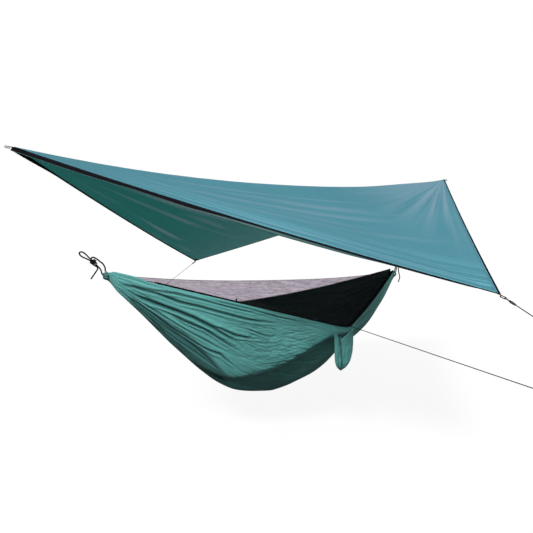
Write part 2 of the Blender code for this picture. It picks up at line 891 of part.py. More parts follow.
def eye_route(eye, knot):
    """The inner strands of a rope: up through the knot, round the eye, and back past the knot."""
    direction, across = rope_axes(eye, knot)
    half = ROPE_SPREAD / 2
    reach = (knot - eye).length

    throat = mix(EYE_HALF_WIDTH, reach - KNOT_STUB, EYE_THROAT_SHARE)

    def strand(sign):
        return [
            eye + direction * (reach + KNOT_STUB) + across * sign * half,
            eye + direction * (reach - KNOT_STUB) + across * sign * half,
            eye + direction * throat + across * sign * EYE_HALF_WIDTH * EYE_SHOULDER_SHARE,
            eye + direction * EYE_HALF_WIDTH * EYE_BELLY_SHARE + across * sign * EYE_HALF_WIDTH,
            eye
            + direction * EYE_HALF_WIDTH * EYE_TIP_SHARE
            + across * sign * EYE_HALF_WIDTH * EYE_SHOULDER_SHARE,
        ]

    return strand(-1) + [eye - direction * ROPE / 2] + strand(1)[::-1]


def coil(eye, knot):
    """Turns of rope wound round both strands, from the far side of the eye end to the underside."""
    direction, across = rope_axes(eye, knot)
    side = Vector((0.0, 1.0, 0.0))
    radius = ROPE_SPREAD / 2 + ROPE + KNOT_CLEARANCE
    count = round(KNOT_HALF_TURNS * KNOT_TURN_POINTS / 2)
    length = KNOT_PITCH * KNOT_HALF_TURNS / 2
    points = []
    for i in range(count + 1):
        angle = math.pi / 2 + 2 * math.pi * i / KNOT_TURN_POINTS
        along = KNOT_PITCH * i / KNOT_TURN_POINTS - length / 2
        points.append(
            knot + direction * along + side * radius * math.sin(angle) + across * radius * math.cos(angle)
        )
    return points


def crossing(eye, knot):
    """The strand that rides over the turns, from the sleeve's end of the knot to the eye's end."""
    direction, across = rope_axes(eye, knot)
    side = Vector((0.0, 1.0, 0.0))
    radius = ROPE_SPREAD / 2 + 2 * (ROPE + KNOT_CLEARANCE)
    half = KNOT_PITCH * KNOT_HALF_TURNS / 4
    return [
        knot + direction * (half + ROPE) + across * (radius + KNOT_CLEARANCE),
        knot + across * (radius + KNOT_CLEARANCE),
        knot - direction * (half + KNOT_PITCH * 0.4) + across * radius * 0.93,
        knot - direction * (half + KNOT_PITCH * 0.9) + across * radius * 0.55 + side * radius * 0.45,
    ]


def least_gap(points, diameter):
    """The smallest clear distance between a tube's turns, measured on its points."""
    near = KNOT_TURN_POINTS // 2
    return min(
        (a - b).length - diameter for i, a in enumerate(points) for b in points[i + near :]
    )


def make_rope(prefix, eye, knot, strand, loose, tail):
    route = [Vector(p) for p in strand][::-1] + eye_route(eye, knot)
    strands = squared_end(smooth_path(route, ROPE_POINTS), route)
    tube(prefix + "_rope", strands, ROPE, "black_rope")
    turns = coil(eye, knot)
    lead = [Vector(p) for p in loose] + crossing(eye, knot) + [turns[0]]
    end = [turns[-1]] + [Vector(p) for p in tail]
    points = (
        squared_end(smooth_path(lead, KNOT_LEAD_POINTS), lead)[:-1]
        + turns
        + smooth_path(end, KNOT_LEAD_POINTS)[1:]
    )
    print(prefix, "rope knot, least gap in mm:", round(1000 * least_gap(points, ROPE), 2))
    tube(prefix + "_rope_knot", points, ROPE, "black_rope")


def make_ropes():
    make_rope("foot", FOOT_EYE, FOOT_KNOT, FOOT_STRAND, FOOT_LOOSE_STRAND, FOOT_TAIL)
    make_rope("head", HEAD_EYE, HEAD_KNOT, HEAD_STRAND, HEAD_LOOSE_STRAND, HEAD_TAIL)


# Side tie-outs of the hammock


def side_loop_frame(side):
    """A side loop's origin, its direction up along the cloth, and its direction into the cloth."""
    x = NEAR_CORNER.x if side < 0 else FAR_CORNER.x
    rim = rim_point(x, side)
    column = 1 if side < 0 else GIRTH_CELLS - 1
    outward = (rim - pleated_point(x, column)).normalized()
    inward = Vector((0.0, outward.z, -outward.y)) * -side
    inward.normalize()
    return rim - inward * (CLOTH / 2 + PATCH_CLEARANCE), outward, inward


def make_side_tie_outs():
    for name, side in (("near_side_loop", -1), ("far_side_loop", 1)):
        origin, outward, inward = side_loop_frame(side)
        make_loop(name, origin, outward, inward)
    origin, outward, inward = side_loop_frame(-1)
    back = LOOP_HEIGHT - LOOP_WALL - CORD_CLEARANCE - EYE_CORD / 2
    centre = origin + outward * LOOP_LENGTH / 2 - inward * back
    make_guyline(
        "side_guy",
        centre,
        -inward,
        outward.cross(inward),
        guy_direction(-1, SIDE_GUY_DROP_SHARE),
        SIDE_GUY_LENGTH,
        "black_rope",
        False,
    )


# Mosquito net


def ridge_cord_point(x):
    share = (x - FOOT_X) / (HEAD_X - FOOT_X)
    sag = NET_RIDGE_SAG * (1 - abs(2 * share - 1) ** NET_RIDGE_SAG_POWER)
    return Vector((x, 0.0, mix(NET_FOOT_Z, NET_HEAD_Z, share) - sag))


def make_ridge_cord():
    start = FOOT_X - CLOTH / 2
    end = HEAD_X + CLOTH / 2
    xs = [mix(start, end, i / (RIDGE_CORD_POINTS - 1)) for i in range(RIDGE_CORD_POINTS)]
    tube("net_ridge_cord", [ridge_cord_point(x) for x in xs], RIDGE_CORD, "black_rope")


def edge_direction(side):
    """The direction in which the net's edging rises from a rim."""
    return Vector((0.0, -side, EDGE_RISE_SHARE)).normalized()


def edge_point(x, side, width):
    lift = Vector((0.0, 0.0, RIM_CLEARANCE))
    return rim_point(x, side) + lift + edge_direction(side) * width


def edge_row_x(row, side):
    return row_x(row, 0.0 if side < 0 else 1.0)


def make_edging(name, side, first, last, width, slot):
    def place(s, t):
        x = edge_row_x(first + round(s * (last - first)), side)
        return edge_point(x, side, width * t)

    sheet(name, last - first, 1, place, TAPE, slot)


def make_net(name, side, first, last, width, draw_in=0.0):
    """A net panel from a rim's edging up to the ridge cord, hanging a little between them."""
    offset = RIDGE_CORD / 2 + GAP + NET / 2

    def place(s, t):
        row = first + round(s * (last - first))
        shift = draw_in * (1 - 2 * s)
        x = edge_row_x(row, side) + shift
        low = edge_point(x, side, width)
        high = ridge_cord_point(x)
        high.y += side * offset
        point = low.lerp(high, t)
        point.z -= NET_SAG * 4 * t * (1 - t)
        return point

    sheet(name, last - first, NET_CELLS, place, NET, "black_net")


def make_mosquito_net():
    make_ridge_cord()
    make_edging("zip_tape", -1, DOOR_FIRST_ROW, DOOR_LAST_ROW, ZIP_WIDTH, "black_tape")
    make_edging("net_binding", 1, NET_FIRST_ROW, NET_LAST_ROW, BINDING_WIDTH, "black_tape")
    make_net("net_door", -1, DOOR_FIRST_ROW, DOOR_LAST_ROW, ZIP_WIDTH + 2 * GAP, GAP)
    make_net("net_far_panel", 1, NET_FIRST_ROW, NET_LAST_ROW, BINDING_WIDTH + 2 * GAP)
    make_net("net_foot_gusset", -1, NET_FIRST_ROW, DOOR_FIRST_ROW, 0.0, GAP)
    make_net("net_head_gusset", -1, DOOR_LAST_ROW, NET_LAST_ROW, 0.0, GAP)


def slider_frame():
    """The zip slider's place on its tape: along the rim, up from the tape and across it."""
    x = mix(FOOT_X, NEAR_CORNER.x, SLIDER_SHARE)
    foot = rim_point(mix(FOOT_X, x, 0.5), -1)
    along = (rim_point(x, -1) - foot).normalized()
    up = along.cross(edge_direction(-1)).normalized()
    across = along.cross(up)
    seam = edge_point(x, -1, ZIP_WIDTH)
    if across.y > 0:
        across = -across
    origin = seam + across * SLIDER_INSET + up * (TAPE / 2 + GAP)
    return origin, along, up


def make_slider():
    origin, along, up = slider_frame()
    half = SLIDER_LENGTH / 2
    top = SLIDER_BASE + SLIDER_SLOT_HEIGHT + SLIDER_ARCH
    body = [
        (-half, 0.0),
        (half, 0.0),
        (half, SLIDER_BASE),
        (SLIDER_ARCH_HALF, SLIDER_BASE),
        (SLIDER_ARCH_HALF - SLIDER_ARCH, top),
        (SLIDER_ARCH - SLIDER_ARCH_HALF, top),
        (-SLIDER_ARCH_HALF, SLIDER_BASE),
        (-half, SLIDER_BASE),
    ]
    low = SLIDER_BASE
    high = SLIDER_BASE + SLIDER_SLOT_HEIGHT
    inner = SLIDER_SLOT_HALF
    taper = SLIDER_ARCH * 0.6
    slot = [(-inner, low + GAP), (inner, low + GAP), (inner - taper, high), (taper - inner, high)]
    frame = basis(along, up, along.cross(up), origin)
    plate("zip_slider", [body, slot], SLIDER_WIDTH, frame, "black_plastic")


def make_pull():
    origin, along, up = slider_frame()
    across = up.cross(-along)
    pivot = origin + up * (SLIDER_BASE + SLIDER_SLOT_HEIGHT / 2)
    inner = SLIDER_WIDTH / 2 + PULL_CLEARANCE
    outer = inner + PULL_WALL
    hole_end = SLIDER_ARCH_HALF + PULL_CLEARANCE
    half = PULL_WALL / 2
    tail = PULL_WIDTH / 2
    outline = [
        (-half, -outer),
        (-half, outer),
        (hole_end + PULL_WALL, outer),
        (hole_end + 2 * PULL_WALL, tail),
        (PULL_LENGTH, tail),
        (PULL_LENGTH, -tail),
        (hole_end + 2 * PULL_WALL, -tail),
        (hole_end + PULL_WALL, -outer),
    ]
    hole = [(half, -inner), (half, inner), (hole_end, inner), (hole_end, -inner)]
    frame = basis(-along, across, up, pivot)
    plate("zip_pull", [outline, hole], PULL_THICKNESS, frame, "black_plastic")


# Pouch


def pouch_frame():
    """The middle of the back of the pouch's mouth, and the outward direction."""
    outward = POUCH_RUN.cross(Vector((0.0, 0.0, 1.0)))
    middle = NEAR_CORNER - POUCH_RUN * POUCH_FROM_CORNER
    middle.z -= POUCH_DROP
    return middle + outward * POUCH_STANDOFF, outward


def mouth_height(angle):
    """How high the mouth's edge stands: sloped up to its left end, dipped to a V in front."""
    left = (1 - math.cos(angle)) / 2 * POUCH_LEFT_RISE
    away = abs(math.cos(angle) - POUCH_NOTCH_SHARE) / POUCH_NOTCH_HALF_SHARE
    front = max(0.0, math.sin(angle)) ** 2 * max(0.0, 1 - away) * POUCH_NOTCH
    return left - front


def pouch_point(share, angle):
    """A point of the pouch, from 0 at its mouth to 1 at its tip."""
    middle, outward = pouch_frame()
    width = interpolate(POUCH_HEIGHT_STATION_SHARES, POUCH_WIDTH_SHARES, share) * POUCH_WIDTH / 2
    depth = interpolate(POUCH_HEIGHT_STATION_SHARES, POUCH_DEPTH_SHARES, share) * POUCH_DEPTH / 2
    fold = 1 + POUCH_FOLD_SHARE * math.cos(POUCH_FOLDS * angle) * max(0.0, math.sin(angle))
    pull = max(0.0, -math.cos(angle)) ** 2 * (1 - share) ** POUCH_PULL_POWER * POUCH_LEFT_PULL
    sideways = POUCH_RUN * (width * math.cos(angle) + POUCH_TIP_SHIFT * share**2 - pull)
    point = middle + sideways + outward * depth * (1 + math.sin(angle) * fold)
    point.z += mouth_height(angle) * (1 - share) - POUCH_HEIGHT * share
    return point


def make_pouch_bag():
    start = (CHANNEL_WIDTH + GAP) / POUCH_HEIGHT

    def place(s, t):
        return pouch_point(mix(start, 1.0, s), 2 * math.pi * t)

    sheet(
        "pouch_bag", POUCH_RINGS, POUCH_SEGMENTS, place, POUCH_WALL, "hammock_cloth", weld=GAP / 3
    )


def make_pouch_channel():
    end = CHANNEL_WIDTH / POUCH_HEIGHT

    def place(s, t):
        return pouch_point(end * s, 2 * math.pi * t)

    sheet("pouch_channel", 1, POUCH_SEGMENTS, place, POUCH_WALL, "channel_cloth", weld=GAP / 3)


def hanger_ends():
    """The ends of the hanging strip's lower edge, behind the back of the mouth."""
    middle, outward = pouch_frame()
    behind = middle - outward * (POUCH_WALL + GAP)
    ends = []
    for share in (-HANGER_FOOT_SHARE, HANGER_HEAD_SHARE):
        rise = (1 - share) / 2 * POUCH_LEFT_RISE - HANGER_LAP
        ends.append(behind + POUCH_RUN * POUCH_WIDTH / 2 * share + Vector((0.0, 0.0, rise)))
    return ends


def make_hanger():
    """The cloth strip sewn on the outside of the hammock's edge that the pouch's back hangs from."""
    last = FOOT_ROWS
    corners = [pleated_point(row_x(last - 1 + i, k / GIRTH_CELLS), k) for i in (0, 1) for k in (0, 1)]
    normal = (corners[1] - corners[0]).cross(corners[2] - corners[0]).normalized()
    if normal.y > 0:
        normal = -normal
    offset = normal * (CLOTH + PATCH_CLEARANCE)
    depth = (corners[3] - corners[2]).length
    foot_end, head_end = hanger_ends()

    def place(s, t):
        along = mix(HANGER_FIRST_SHARE, HANGER_LAST_SHARE, s)
        top = corners[0].lerp(corners[2], along)
        top = top.lerp(corners[1].lerp(corners[3], along), HANGER_TOP / depth) + offset
        return top.lerp(foot_end.lerp(head_end, s), t)

    sheet("pouch_hanger", HANGER_CELLS, 2, place, POUCH_WALL, "hammock_cloth")


def drawcord_frame():
    """Where the drawcord leaves the channel, the direction along the channel, and outward from it."""
    ends = [2 * math.pi * (DRAWCORD_STEP + i) / POUCH_SEGMENTS for i in (0, 1)]
    shares = (0.0, CHANNEL_WIDTH / POUCH_HEIGHT)
    right, left = [(pouch_point(shares[0], a) + pouch_point(shares[1], a)) / 2 for a in ends]
    along = right - left
    along.z = 0.0
    along.normalize()
    outward = along.cross(Vector((0.0, 0.0, 1.0)))
    return (left + right) / 2 + outward * (POUCH_WALL / 2 + GAP * 2), along, outward


def make_drawcord():
    start, along, outward = drawcord_frame()
    half = along * DRAWCORD_SPREAD / 2
    down = Vector((0.0, 0.0, -DRAWCORD_DROP))
    out = outward * DRAWCORD_STANDOFF

    def strand(sign):
        return [
            start + half * sign,
            start + out / 3 + half * sign,
            start + out * 0.8 + down * 0.06 + half * sign,
            start + out + down * 0.18 + half * sign,
            start + out + down * 0.4 + half * sign,
            start + out + down * 0.78 + half * sign,
            start + out + down * 0.93 + half * sign * 1.2,
        ]

    route = strand(-1) + [start + out + down] + strand(1)[::-1]
    tube("pouch_drawcord", smooth_path(route, DRAWCORD_POINTS), DRAWCORD, "black_rope", 1)


def make_cord_lock():
    start, along, outward = drawcord_frame()
    middle = start + outward * DRAWCORD_STANDOFF - Vector((0.0, 0.0, LOCK_DROP))
    bore = DRAWCORD / 2 + CORD_CLEARANCE
    spread = DRAWCORD_SPREAD / 2
    body = rounded_box(-LOCK_WIDTH / 2, LOCK_WIDTH / 2, -LOCK_DEPTH / 2, LOCK_DEPTH / 2, LOCK_ROUND)
    bores = [arc(side * spread, 0.0, bore, 0, 4, 12)[:-1] for side in (-1, 1)]
    frame = basis(along, outward, along.cross(outward), middle)
    plate("pouch_cord_lock", [body, *bores], LOCK_LENGTH, frame, "black_plastic")


def make_pouch():
    make_pouch_bag()
    make_pouch_channel()
    make_hanger()
    make_drawcord()
    make_cord_lock()


def build():
    clear_scene()
    if COLLECTION not in bpy.data.collections:
        bpy.context.scene.collection.children.link(bpy.data.collections.new(COLLECTION))
    make_canopy()
    make_hems()
    make_patches()
    make_corner_loops()
    make_tarp_guylines()
    make_hammock_cloth()
    make_sleeves()
    make_ropes()
    make_side_tie_outs()
    make_mosquito_net()
    make_slider()
    make_pull()
    make_pouch()


build()
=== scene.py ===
"""Looks of the hammock tent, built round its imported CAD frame.

Nothing is simulated: folds and creases come from rules, tables and seeded noise.
"""

import math
from bisect import bisect_left
from functools import lru_cache

import bpy
from mathutils import Matrix, Vector, noise


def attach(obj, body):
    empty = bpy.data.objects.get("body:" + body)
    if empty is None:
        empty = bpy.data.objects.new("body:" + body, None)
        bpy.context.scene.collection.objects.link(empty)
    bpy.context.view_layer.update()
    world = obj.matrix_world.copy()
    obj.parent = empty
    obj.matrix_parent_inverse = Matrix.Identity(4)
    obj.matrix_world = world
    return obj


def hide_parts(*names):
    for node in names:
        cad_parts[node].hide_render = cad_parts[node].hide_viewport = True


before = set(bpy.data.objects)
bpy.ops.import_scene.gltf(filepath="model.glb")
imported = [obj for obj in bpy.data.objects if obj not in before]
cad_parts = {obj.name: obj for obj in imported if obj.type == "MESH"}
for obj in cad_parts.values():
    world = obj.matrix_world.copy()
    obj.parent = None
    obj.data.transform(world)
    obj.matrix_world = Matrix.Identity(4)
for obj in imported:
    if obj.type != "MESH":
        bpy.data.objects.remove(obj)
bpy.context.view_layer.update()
UP, ACROSS = Vector((0.0, 0.0, 1.0)), Vector((0.0, 1.0, 0.0))

# Camera: solved from the photograph, 533 x 533
YAW, PITCH, FOCAL_PX, FRAME_PX, SENSOR_MM = math.radians(32.12), math.radians(3.69), 478.6, 533, 36
EYE = Vector((-0.6113, -3.1901, 0.1092))

# Sizes shared with the CAD, in metres
GAP, CLOTH, TAPE, NET = 0.0003, 0.0008, 0.001, 0.0006
TARP_SIDE, A, C = 2.8, Vector((-0.372, 0.0, 0.631)), Vector((3.526, 0.0, 0.679))
SIDE_X, SIDE_Y, SIDE_Z = 1.587, 1.836, -0.177
RIDGE_SAG, HEM_SAG, PANEL_SAG = 0.142, 0.022, 0.02
HEM_WIDTH, PATCH_LEG, PATCH_CLEARANCE = 0.018, 0.11, 0.0005
LOOP_WIDTH, LOOP_LENGTH, LOOP_HEIGHT, LOOP_WALL, LOOP_TAB, LOOP_BEND = 0.010, 0.028, 0.0105, 0.0016, 0.028, 0.0022
GUY_CORD, EYE_CORD, EYE_LENGTH, CORD_CLEARANCE = 0.0048, 0.0038, 0.018, 0.0004
KNOT_LENGTH, KNOT_RADIUS, END_LOOP_LENGTH, END_LOOP_WIDTH = 0.0075, 0.0058, 0.042, 0.016
FOOT_X, HEAD_X, FOOT_RIM_Z, HEAD_RIM_Z, END_HALF_WIDTH = 0.165, 2.80, -0.130, -0.202, 0.028
NEAR_CORNER, FAR_CORNER = Vector((1.61, -0.70, -0.523)), Vector((1.505, 0.70, -0.501))
KEEL_DEPTH, HEAD_RIM_SAG = 1.116, 0.03
SECTION_STEP = 1 / 28
ROPE, ROPE_SPREAD, KNOT_PITCH, KNOT_CLEARANCE = 0.0095, 0.0104, 0.0109, 0.0009
EYE_HALF_WIDTH, KNOT_STUB, LASHING_TURNS, TURN_POINTS = 0.0132, 0.0255, 2.25, 12
RIDGE_CORD, RIDGE_CORD_FOOT_Z, RIDGE_CORD_HEAD_Z, RIDGE_CORD_SAG = 0.003, -0.143, -0.226, 0.062
DRAWCORD, ZIP_WIDTH, BINDING_WIDTH, EDGING_LIFT = 0.0022, 0.035, 0.014, 0.0014
POUCH_HALF_WIDTH, POUCH_HALF_DEPTH, POUCH_HEIGHT, CHANNEL_WIDTH = 0.0675, 0.015, 0.284, 0.013


def mix(a, b, share):
    return a + (b - a) * share


def smooth(low, high, value):
    """0 at low and 1 at high, eased; low may be the larger one."""
    f = min(max((value - low) / (high - low), 0.0), 1.0)
    return f * f * (3 - 2 * f)


def swell(value, start, full, fade, end):
    """0 outside start and end, 1 between full and fade."""
    return smooth(start, full, value) * smooth(end, fade, value)


def hump(away, width=1.0):
    """1 in the middle, falling off on both sides within about a width."""
    return math.exp(-((away / width) ** 2))


def link(obj):
    bpy.context.scene.collection.objects.link(obj)
    return obj


camera = bpy.data.cameras.new("camera")
camera.sensor_width = SENSOR_MM
camera.lens = FOCAL_PX * SENSOR_MM / FRAME_PX
camera_object = link(bpy.data.objects.new("camera", camera))
forward = Vector((math.sin(YAW) * math.cos(PITCH), math.cos(YAW) * math.cos(PITCH), -math.sin(PITCH)))
camera_object.matrix_world = Matrix.Translation(EYE) @ forward.to_track_quat("-Z", "Y").to_matrix().to_4x4()
bpy.context.scene.camera = camera_object
bpy.context.scene.view_settings.view_transform = "Standard"


# Materials

THREAD_PITCH, THREAD_HEIGHT, RIPSTOP_PITCH, RIPSTOP_HEIGHT = 0.0016, 0.00004, 0.009, 0.00006


class Value:
    """A node's output that takes part in arithmetic, each step as one Math node."""

    def __init__(self, graph, socket):
        self.graph, self.socket = graph, socket

    def __rsub__(self, other):
        return self.graph.maths("SUBTRACT", other, self)

    def ramp(self, low, high):
        """0 at low and 1 at high, eased; low may be the larger one."""
        ends = {"Value": self, "From Min": low, "From Max": high}
        return self.graph.add("MapRange", ends, interpolation_type="SMOOTHSTEP")


OPERATIONS = {"__add__": "ADD", "__mul__": "MULTIPLY", "__sub__": "SUBTRACT", "__truediv__": "DIVIDE",
              "__pow__": "POWER", "__lt__": "LESS_THAN", "__abs__": "ABSOLUTE", "smaller": "MINIMUM",
              "larger": "MAXIMUM", "pingpong": "PINGPONG"}
for method, operation in OPERATIONS.items():
    setattr(Value, method, lambda self, *others, kind=operation: self.graph.maths(kind, self, *others))


class Graph:
    """A node tree, with a short way to add each kind of node to it."""

    def __init__(self, tree):
        self.tree = tree

    def put(self, socket, value):
        if isinstance(value, Value):
            self.tree.links.new(value.socket, socket)
        else:
            socket.default_value = (*value, 1) if socket.type == "RGBA" else value

    def add(self, kind, inputs, output=0, **settings):
        made = self.tree.nodes.new("ShaderNode" + kind)
        for key, value in settings.items():
            setattr(made, key, value)
        for key, value in inputs.items():
            self.put(made.inputs[key], value)
        return Value(self, made.outputs[output])

    def maths(self, operation, *values):
        return self.add("Math", dict(enumerate(values)), operation=operation)

    def coordinate(self, kind="UV"):
        return self.add("TexCoord", {}, kind)

    def mapped(self, vector, angle=0.0, scale=(1.0, 1.0, 1.0)):
        return self.add("Mapping", {"Vector": vector, "Rotation": (0, 0, angle), "Scale": scale})

    def noise(self, vector, scale, detail, roughness=0.5, distortion=0.0):
        inputs = {"Vector": vector, "Scale": scale, "Detail": detail, "Roughness": roughness, "Distortion": distortion}
        return self.add("TexNoise", inputs)

    def stretched_noise(self, x, y, detail):
        return self.noise(self.add("CombineXYZ", {0: x, 1: y}), 1.0, detail)

    def split(self, vector):
        return [self.add("SeparateXYZ", {0: vector}, i) for i in (0, 1)]

    def tint(self, share, a, b):
        return self.add("Mix", {0: share, 6: a, 7: b}, 2, data_type="RGBA")

    def weave(self, vector, period, angle=0.0):
        """Threads crossing at right angles, from 0 between them to 1 on them."""
        inputs = {"Vector": self.mapped(vector, angle), "Scale": 1 / period / 3.183}
        one, other = (self.add("TexWave", inputs, "Fac", bands_direction=way) for way in "XY")
        return one * other

    def ripstop(self, uv):
        """The grid of heavier threads."""
        return (1.0 - self.weave(uv, RIPSTOP_PITCH)) ** 9.0

    def furrows(self, vector, width):
        """Thin wandering furrows, 1 in their floor, along the middle value of a noise."""
        return abs(self.noise(vector, 1.0, 2.0, 0.45) - 0.5).ramp(width, 0.0)


class Surface(Graph):
    """The graph of a new material, round its Principled shader."""

    def __init__(self, name, colour, roughness, **inputs):
        self.material = bpy.data.materials.new(name)
        self.material.use_nodes = True
        super().__init__(self.material.node_tree)
        self.body = self.tree.nodes["Principled BSDF"]
        self.shader = Value(self, self.body.outputs[0])
        self.set(Base_Color=colour, Roughness=roughness, **inputs)

    def set(self, **inputs):
        for key, value in inputs.items():
            self.put(self.body.inputs[key.replace("_", " ")], value)

    def bump(self, height, strength=1.0, distance=1.0):
        self.set(Normal=self.add("Bump", {"Height": height, "Strength": strength, "Distance": distance}))

    def show(self, share, first, second):
        """Shows a blend of two shaders instead of the Principled one."""
        blend = self.add("MixShader", {0: share, 1: first, 2: second})
        self.put(self.tree.nodes["Material Output"].inputs[0], blend)


def gathered(g, uv):
    """Depth of the pleats that run in from both gathered ends, and of the crumples between them."""
    along, round_it = g.split(uv)
    ends = (along.ramp(0.12, 0.4) * along.ramp(2.0, 0.8)).larger(along.ramp(3.1, 2.9) * along.ramp(2.3, 2.7))
    uneven = g.noise(uv, 2.6, 2.0).ramp(0.42, 0.6) * 0.7 + 0.3
    lower = round_it.ramp(0.3, 0.8) * 0.75 + 0.25
    pleats = g.furrows(g.mapped(uv, scale=(1.1, 17.0, 1.0)), 0.06) * ends * uneven * lower
    middle = along.ramp(0.75, 1.3) * along.ramp(2.3, 1.7) * round_it.ramp(1.2, 0.7)
    crumpled = g.furrows(g.mapped(uv, 0.5, (7.0, 15.0, 1.0)), 0.10) * middle * uneven
    return pleats.larger(crumpled * 0.55)


def darkened(colour, share):
    return [share * c for c in colour]


def cloth_material(name, colour, deep, crinkle, roughness=0.5, pleated=False):
    """Thin woven nylon: threads, ripstop lines, small crinkles and cloudy wear, darkened by the painted shade that the
    mesh stores as its shade attribute.
    """
    g = Surface(name, colour, roughness, Sheen_Weight=0.03, Sheen_Roughness=0.4, Specular_IOR_Level=0.2)
    uv = g.coordinate()
    cloud, fine, lines = g.noise(uv, 4.0, 5.0, 0.6), g.noise(uv, 42.0, 4.0, 0.55), g.ripstop(uv)
    base = g.tint(cloud * 0.75 + fine * 0.25 + lines * 0.12, colour, deep)
    height = fine * crinkle + g.weave(uv, THREAD_PITCH) * THREAD_HEIGHT + lines * RIPSTOP_HEIGHT
    if pleated:
        folds = gathered(g, uv)
        height = height + folds * -0.0035
        # Painted shade: the pleats' and crumples' furrows are also darkened in colour
        base = g.tint(folds * 0.45, base, darkened(deep, 0.3))
    # Painted shade: the colour is darkened by the per-point shade that crease_shade or pouch_shade stored on the mesh
    shade = g.add("Attribute", {}, "Fac", attribute_name="shade")
    g.set(Base_Color=g.tint(shade, base, darkened(deep, 0.06)), Roughness=cloud * 0.12 + (roughness - 0.06))
    g.bump(height)
    return g.material


def head_fan(g, u, v):
    """Painted highlights and shade: soft folds that fan out from the head corner, drawn as stripes darker and paler
    than the cloth round them.
    """
    beside, total = TARP_SIDE - u, (TARP_SIDE - u) + (TARP_SIDE - v)
    turn = beside / total.larger(0.05)
    fold = g.stretched_noise(turn * 24.0, total * 0.3, 1.0).ramp(0.36, 0.62) - 0.62
    return fold * total.ramp(2.6, 1.1) * total.ramp(0.05, 0.3) * abs(turn - 0.5).ramp(0.08, 0.26)


def tarp_material(name, colour, deep, pale, sheen_streak_share, highlight_share, painted_light_span, through_share, through_colours):
    """Coated ripstop: tension streaks along the hems as bumps and painted sheen highlights, painted highlight lines
    along the foot hems, painted shade towards the ridge and painted light towards the head end, a sewn ridge line,
    weave and a little light let through.
    """
    g = Surface(name, colour, 0.5, Sheen_Weight=0.04, Specular_IOR_Level=0.2)
    uv = g.coordinate()
    u, v = g.split(uv)
    low, high = u.smaller(v), u.larger(v)
    sharp = g.stretched_noise(low / high.larger(0.05) * 12.0, high * 0.45, 2.0).ramp(0.50, 0.66)
    # Painted sheen highlights: pale streaks along the tension folds beside the hems
    sheen_streaks = sharp * high.ramp(0.3, 1.2) * high.ramp(2.8, 2.2) * sheen_streak_share
    # Painted highlights: pale cyan lines along the foot hems
    drawn = g.stretched_noise(low * 24.0, high * 0.5, 1.0).ramp(0.44, 0.62)
    drawn = drawn * low.ramp(0.6, 0.03) * high.ramp(0.3, 0.9) * highlight_share
    cloud, fine = g.noise(uv, 1.6, 5.0, 0.55), g.noise(uv, 36.0, 4.0, 0.55)
    # Painted shade: the colour is drawn darker towards the ridge on the head half, on top of the cloudy tone
    ridge = (high - low).ramp(1.3, 0.1) * (low + high).ramp(2.4, 4.4)
    shade = cloud * 0.8 + fine * 0.2 + ridge * 1.1
    # Painted light: paler towards the head end, with the head corner's painted fold highlights and shade; with the
    # sheen streaks it also tints the light let through
    painted_head_light = (low + high).ramp(*painted_light_span) * 0.42 + head_fan(g, u, v) * (highlight_share * 0.6)
    painted_light = sheen_streaks.larger(painted_head_light)
    base = g.tint(painted_light, g.tint(shade, colour, deep), pale)
    g.set(Base_Color=g.tint(drawn, base, DRAWN_HIGHLIGHT_COLOUR), Roughness=cloud * 0.15 + 0.42)
    height = fine * 0.0009 + g.weave(uv, THREAD_PITCH) * THREAD_HEIGHT + g.ripstop(uv) * RIPSTOP_HEIGHT
    g.bump(height + sharp * 0.0012 + (abs(u - v) < 0.008) * 0.0005)
    g.show(through_share, g.shader, g.add("BsdfTranslucent", {"Color": g.tint(painted_light, *through_colours)}))
    return g.material


def stitches(g, uv, rows, pitch=0.005):
    """Runs of thread at given distances across a tape, as dashes along it."""
    along, across = g.split(uv)
    dash, found = along.pingpong(pitch / 2) < pitch * 0.32, None
    for row in rows:
        one = (abs(across - row) < 0.0006) * dash
        found = one if found is None else found.larger(one)
    return found


def webbing_material(name, colour, deep, rows=(0.003,)):
    """Woven tape: slanting ribs, sewn thread and dusty fibres."""
    g = Surface(name, colour, 0.8, Sheen_Weight=0.0, Specular_IOR_Level=0.05)
    uv = g.coordinate()
    ribs, thread = g.weave(uv, 0.0022, 0.5), stitches(g, uv, rows)
    base = g.tint(ribs * 0.5 + g.noise(uv, 60.0, 3.0) * 0.5, deep, colour)
    g.set(Base_Color=g.tint(thread, base, [0.008 + 1.6 * c for c in colour]))
    g.bump(thread * 0.8 + ribs, 0.6, 0.0004)
    return g.material


def cord_material(name, colour, deep, length, diameter):
    """A braided sheath: two sets of strands winding opposite ways round the cord."""
    g = Surface(name, colour, 0.85, Sheen_Weight=0.02, Specular_IOR_Level=0.1)
    along, round_it = g.split(g.coordinate())
    turns = along * (length / (diameter * 1.6))
    one, other = (((round_it * lean + turns) * 2.0).pingpong(1.0) for lean in (2.0, -2.0))
    braid = one.larger(other)
    g.set(Base_Color=g.tint(braid, deep, colour))
    g.bump(braid, 0.7, diameter * 0.1)
    return g.material


def net_material():
    """Fine black mosquito mesh: what is behind it shows through its holes, a little darker."""
    g = Surface("net", (0.02, 0.016, 0.02), 0.7, Specular_IOR_Level=0.15)
    uv = g.coordinate()
    mesh = g.add("TexVoronoi", {"Vector": uv, "Scale": 620.0}, "Distance", feature="DISTANCE_TO_EDGE")
    holes = g.add("MapRange", {"Value": mesh, "From Min": 0.05, "From Max": 0.3})
    cloud = g.noise(g.mapped(uv, 0.7, (9.0, 26.0, 1.0)), 1.0, 6.0, 0.7, 0.8)
    cover = cloud.ramp(0.36, 0.66) * 0.17 + (holes * -0.10 + 0.145)
    g.set(Base_Color=g.tint(cloud, (0.016, 0.013, 0.014), (0.046, 0.038, 0.040)))
    g.show(cover, g.add("BsdfTransparent", {"Color": (0.965, 0.935, 0.972)}), g.shader)
    return g.material


